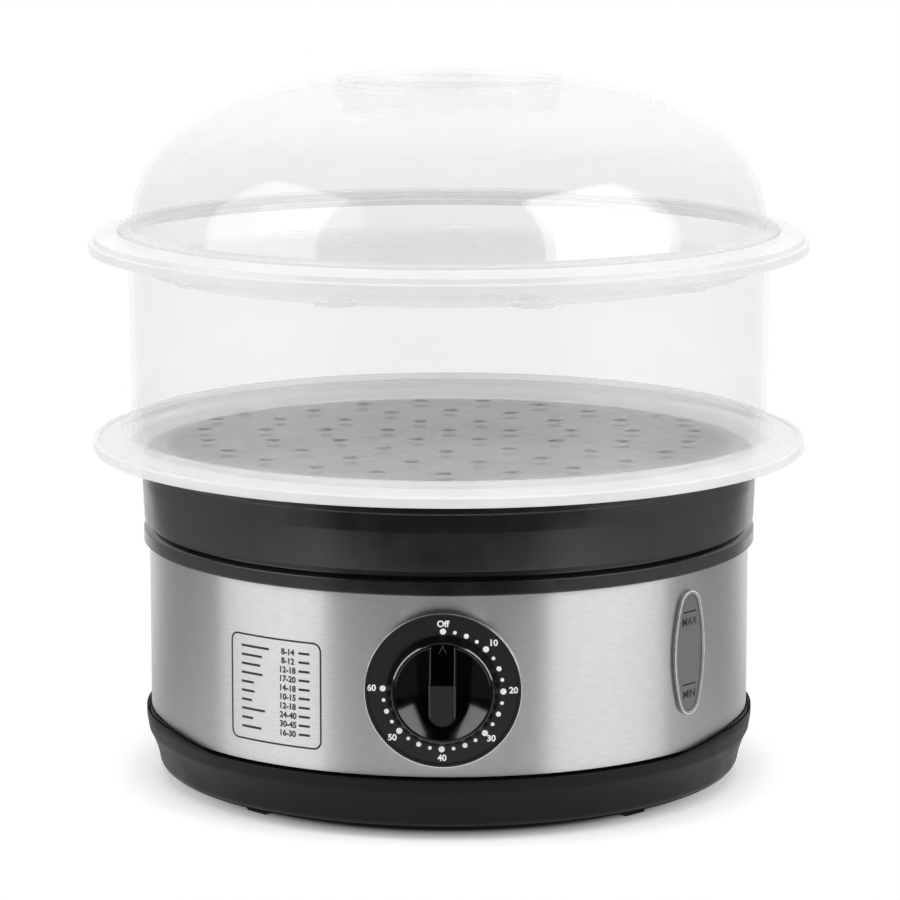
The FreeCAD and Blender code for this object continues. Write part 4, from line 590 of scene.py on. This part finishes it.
def chart_marks(dark):
    """A rounded frame with plain bars and minutes, printed on the steel."""
    sheet = Sheet()
    outer, inner = [rounded(CHART_HALF_W - inset, CHART_HALF_H - inset, CHART_CORNER_R - inset,
                            CHART_CENTRE) for inset in (0.0, CHART_LINE)]
    sheet.ring(outer, inner, PRINT_THICK)
    for row, (length, minutes) in enumerate(CHART_ROWS):
        up = CHART_TOP_ROW - CHART_PITCH * row
        sheet.bar(CHART_LEFT, CHART_LEFT + length, up, CHART_BAR_HIGH, PRINT_THICK)
        sheet.words(minutes, (MINUTES_AT, up), MINUTES_SIZE, PRINT_THICK, MINUTES_WEIGHT)
        sheet.bar(*CHART_TAIL, up, CHART_BAR_HIGH, PRINT_THICK)
    return sheet.build("steel_chart", on_wall(STEEL_R, CHART_AZIMUTH), dark, "base")


# ---------------------------------------------------------------- finishes

FINISHES = {
    "black_plastic": plastic("black_plastic", (0.007, 0.007, 0.0072), 0.36, 0.12, specular=0.25),
    "dial_plastic": plastic("dial_plastic", (0.012, 0.012, 0.0122), 0.42, 0.05),
    "foot_rubber": plastic("foot_rubber", (0.002, 0.002, 0.002), 0.6, 0.3, specular=0.1),
    "seal_rubber": plastic("seal_rubber", (0.3, 0.3, 0.3), 0.6, 0.2),
    "zinc_steel": metal("zinc_steel", (0.62, 0.62, 0.63), 0.35, 0.02),
    "heater_aluminium": metal("heater_aluminium", (0.66, 0.66, 0.66), 0.42, 0.05),
    "contact_brass": metal("contact_brass", (0.72, 0.52, 0.22), 0.3, 0.03),
    "ivory_plastic": plastic("ivory_plastic", (0.75, 0.72, 0.62), 0.5, 0.1),
    "dark_resin": plastic("dark_resin", (0.05, 0.035, 0.025), 0.4, 0.1),
    "sleeve_steel": brushed_steel("sleeve_steel"),
    "window_plastic": plastic("window_plastic", (0.115, 0.116, 0.117), 0.22, 0.03),
    "clear_tray": clear_plastic("clear_tray", (0.025, 0.03, 0.35, 0.62), TRAY_RING_R, 0.09,
                                (0.84, 0.84, 0.843)),
    "clear_lid": clear_plastic("clear_lid", (0.12, 0.08, 0.27, 0.35), TRAY_RING_R, 0.06,
                               (0.82, 0.82, 0.823), satin_in=LID_RECESS_R),
}
# Nodes whose finish differs from that of their slot.
NODE_FINISHES = {
    "timer_knob": knob_plastic("knob_plastic"),
    "dial_plate": dial_face_plastic("dial_face_plastic"),
    # The skirt's upward faces and its bottom 6 mm carry painted shade.
    "base_skirt": plastic("skirt_plastic", (0.0042, 0.0042, 0.0043), 0.4, 0.12, edge=0.0025,
                          specular=0.19, painted_shade_below=SKIRT_EDGE_Z),
    "water_tank": plastic("tank_plastic", (0.0025, 0.0025, 0.0026), 0.2, 0.06, specular=0.95),
    "trim_ring": plastic("trim_plastic", (0.0025, 0.0025, 0.0026), 0.2, 0.06, edge=0.0005,
                         specular=0.9),
    "window_bezel": bezel_plastic("bezel_plastic"),
    # The drip tray's body colour (0.925 against the trays' 0.84) is painted lighter to offset the
    # shade under the upper tray's flange.
    "drip_tray": clear_plastic("drip_plastic", (0.03, 0.04, 0.35, 0.65), DRIP_RING_R, 0.09,
                               (0.925, 0.925, 0.927)),
}


def dress_nodes():
    """Gives every CAD node its own finish, or else that of its slot."""
    slots = {part["node"]: part["material_slot"] for part in frame["record"]["subparts"]}
    for name, node in NODES.items():
        node.data.materials.clear()
        node.data.materials.append(NODE_FINISHES.get(name, FINISHES[slots[name]]))


# ---------------------------------------------------------------- stage

# Brightness of the room from the front, at 0 degrees, round either side to the back.
ROOM = ((0, 0.07), (35, 0.09), (47, 0.25), (60, 0.45), (85, 0.48), (100, 0.44), (115, 0.36),
        (130, 0.33), (142, 0.52), (155, 0.85), (170, 1.0), (180, 1.0))
# Directions in which the room turns dark: upward, and not to the back.
CEILING_Z = (0.2, 0.5)
CEILING_Y = (0.3, 0.7)
CEILING = (0.02, 0.02, 0.02)


def room_level(t, x, y):
    """Brightness of the room in the direction (x, y)."""
    reach = t.math("MAXIMUM", t.length(x, y), 0.0001)
    front = t.math("DIVIDE", t.math("MULTIPLY", y, -1.0), reach)
    return t.ramp(t.math("MULTIPLY", t.math("ARCCOSINE", front), 180.0 / math.pi), ROOM)


def studio_world():
    """White to the camera. For all else a room that is bright behind the part, dim in front
    and dark overhead."""
    world = bpy.data.worlds.new("studio")
    bpy.context.scene.world = world
    t = Tree(world)
    x, y, z = t.apart(t.add("TexCoord").outputs["Generated"])
    dark = t.math("MULTIPLY", t.span(z, 0.0, 1.0, *CEILING_Z), t.span(y, 1.0, 0.0, *CEILING_Y))
    room = t.blend(dark, room_level(t, x, y), CEILING)
    seen = t.add("LightPath").outputs["Is Camera Ray"]
    light = t.add("Background", {"Color": t.blend(seen, room, (1, 1, 1)), "Strength": 1.0})
    out = t.add("OutputWorld")
    t.links.new(light.outputs[0], out.inputs["Surface"])


FLOOR_REACH = 6.0
# The paper seen in reflections: half its width, its front edge, how softly it ends, and its
# brightness from front to back.
PAPER_HALF_W = 0.40
PAPER_FRONT = -0.42
PAPER_SOFT = 0.04
PAPER_LEVELS = ((-0.10, 0.92), (0.05, 0.5), (0.15, 0.55), (0.30, 0.9), (0.5, 1.0))
# The floor seen by the camera, by distance from the axis: how much light it gives back close to
#  the part, cut to 0.1 under the base as a painted shadow, and farther out; a painted glow of
#  emission standing in for the light that the part's side throws on it; and where it turns white.
SHADE_GAIN = (0.1, 1.12)
SHADE_R = (0.096, 0.103)
PAINTED_GLOW_RING = ((0.094, 0.0), (0.097, 0.01), (0.100, 0.11), (0.103, 0.23), (0.106, 0.30), (0.109, 0.29),
          (0.112, 0.19), (0.117, 0.06), (0.123, 0.0))
WHITE_R = (0.112, 0.16)


def studio_floor():
    """A white floor that keeps the part's shadow; to the camera it is also darkened under the base,
    a painted shadow, and lit round the base by a painted glow. In reflections it is a sheet of
    white paper round the part, with the room's own brightness beyond it."""
    mesh = bpy.data.meshes.new("floor")
    far = FLOOR_REACH
    corners = [(-far, -far, 0), (far, -far, 0), (far, far, 0), (-far, far, 0)]
    mesh.from_pydata(corners, [], [(0, 1, 2, 3)])
    floor = bpy.data.objects.new("floor", mesh)
    bpy.context.scene.collection.objects.link(floor)
    material, t = new_material("floor")
    x, y, _ = t.apart(t.here())
    paper = t.add("BsdfDiffuse", {"Color": (0.85, 0.85, 0.85)})
    from_axis = t.length(x, y)
    # Painted shadow: the floor's colour falls to 0.1 under the base.
    gain = t.span(from_axis, *SHADE_GAIN, *SHADE_R)
    grey = t.add("CombineColor", {0: gain, 1: gain, 2: gain}).outputs[0]
    shaded = t.add("BsdfDiffuse", {"Color": grey})
    # Painted light: an emitted ring round the base, brightest about 106 mm from the axis.
    painted_glow = t.add("Emission", {"Color": t.ramp(from_axis, PAINTED_GLOW_RING)})
    under = t.add("AddShader", {0: shaded.outputs[0], 1: painted_glow.outputs[0]})
    plain = t.add("Emission", {"Color": (1, 1, 1), "Strength": 1.0})
    away = t.span(from_axis, 0.0, 1.0, *WHITE_R)
    seen = t.mixed(away, under.outputs[0], plain.outputs[0])
    within_w = t.span(t.math("ABSOLUTE", x), 1.0, 0.0,
                      PAPER_HALF_W - PAPER_SOFT, PAPER_HALF_W + PAPER_SOFT)
    behind = t.span(y, 0.0, 1.0, PAPER_FRONT - PAPER_SOFT, PAPER_FRONT + PAPER_SOFT)
    on_paper = t.math("MULTIPLY", within_w, behind)
    mirrored = t.blend(on_paper, room_level(t, x, y), t.ramp(y, PAPER_LEVELS))
    shown = t.add("Emission", {"Color": mirrored})
    path = t.add("LightPath").outputs
    unseen = t.mixed(path["Is Glossy Ray"], paper.outputs[0], shown.outputs[0])
    t.finish(t.mixed(path["Is Camera Ray"], unseen, seen))
    material.cycles.emission_sampling = "NONE"
    mesh.materials.append(material)


# Watts per square metre of an area lamp whose face has a brightness of 1.
FACE_POWER = 4.0


def softbox(name, centre, width, height, level, aim, mirrored=True, gloss_on=(), roll=0):
    """An area lamp whose face has the given brightness, turned in its own plane by roll. It may be
    left out of reflections, or shown only in those of the nodes in gloss_on."""
    lamp = bpy.data.lights.new(name, "AREA")
    lamp.shape = "RECTANGLE"
    lamp.size = width
    lamp.size_y = height
    lamp.energy = FACE_POWER * width * height * level
    holder = bpy.data.objects.new(name, lamp)
    holder.location = centre
    facing = (Vector(centre) - Vector(aim)).to_track_quat("Z", "Y")
    holder.rotation_euler = (facing @ Quaternion((0.0, 0.0, 1.0), math.radians(roll))).to_euler()
    holder.visible_camera = False
    holder.visible_glossy = mirrored
    if gloss_on:
        holder.visible_diffuse = False
        holder.visible_transmission = False
        lit = bpy.data.collections.new(name)
        holder.light_linking.receiver_collection = lit
        for node in gloss_on:
            lit.objects.link(NODES[node])
    bpy.context.scene.collection.objects.link(holder)


TALL_LOW = 0.12
TALL_TOP = 1.33
TALL_AIM = (0.0, -0.04)


def tall_box(name, place, width, level, gloss_on=()):
    """An upright softbox that stands beside the part."""
    middle = (TALL_LOW + TALL_TOP) / 2
    softbox(name, (*place, middle), width, TALL_TOP - TALL_LOW, level, (*TALL_AIM, middle),
            gloss_on=gloss_on)


def studio_lamps():
    """A tall softbox on each side, brighter ones that only the lid or the knob mirrors, and soft
    fill from above and from the front."""
    tall_box("softbox_left", (-0.860, -0.366), 0.80, 1.7)
    tall_box("softbox_right", (0.792, -0.432), 0.835, 1.7)
    tall_box("lid_glint_left", (-0.860, -0.366), 0.80, 2.4, ("lid",))
    tall_box("lid_glint_right", (0.757, -0.491), 0.80, 2.4, ("lid",))
    for side, across in (("left", -1), ("right", 1)):
        tall_box("rim_glint_" + side, (across * 0.82, -0.40), 0.8, 5.0, ("timer_knob",))
        softbox("knob_glint_" + side, (across * 0.205, -0.578, 0.18), 0.17, 0.3, 20.0,
                (0.0, -0.13, 0.059), gloss_on=("timer_knob",), roll=18 * across)
    softbox("bar_glint", (0.0, -0.197, 0.0235), 0.02, 0.034, 2.2, (0.0, -0.1355, 0.0567),
            gloss_on=("timer_knob",))
    softbox("fill_above", (0.0, 0.0, 1.5), 1.5, 1.5, 2.3, (0.0, 0.0, 0.0), mirrored=False)
    softbox("fill_front", (0.0, -1.5, 1.7), 1.3, 1.3, 1.9, (0.0, 0.0, 0.15), mirrored=False)


CAMERA_PLACE = (0.02997, -1.65073, 0.4175)
CAMERA_TURN = (80.05, 0.0, 1.025)
CAMERA_LENS = 170.8
SENSOR_W = 36.0
CAMERA_REACH = 50.0


def camera():
    data = bpy.data.cameras.new("camera")
    data.lens = CAMERA_LENS
    data.sensor_width = SENSOR_W
    data.clip_end = CAMERA_REACH
    holder = bpy.data.objects.new("camera", data)
    holder.location = CAMERA_PLACE
    holder.rotation_euler = [math.radians(turn) for turn in CAMERA_TURN]
    bpy.context.scene.collection.objects.link(holder)
    bpy.context.scene.camera = holder


# ---------------------------------------------------------------- scene

dress_nodes()
dial_marks(ink("white_ink", (0.95, 0.95, 0.95)))
knob_pointer(ink("grey_ink", (0.035, 0.035, 0.035)))
window_marks(ink("window_ink", (0.002, 0.002, 0.002), 0.7))
chart_marks(ink("black_ink", (0.015, 0.015, 0.016)))
studio_world()
studio_floor()
studio_lamps()
camera()
bpy.context.scene.view_settings.view_transform = "Standard"
bpy.context.scene.cycles.transparent_max_bounces = 48
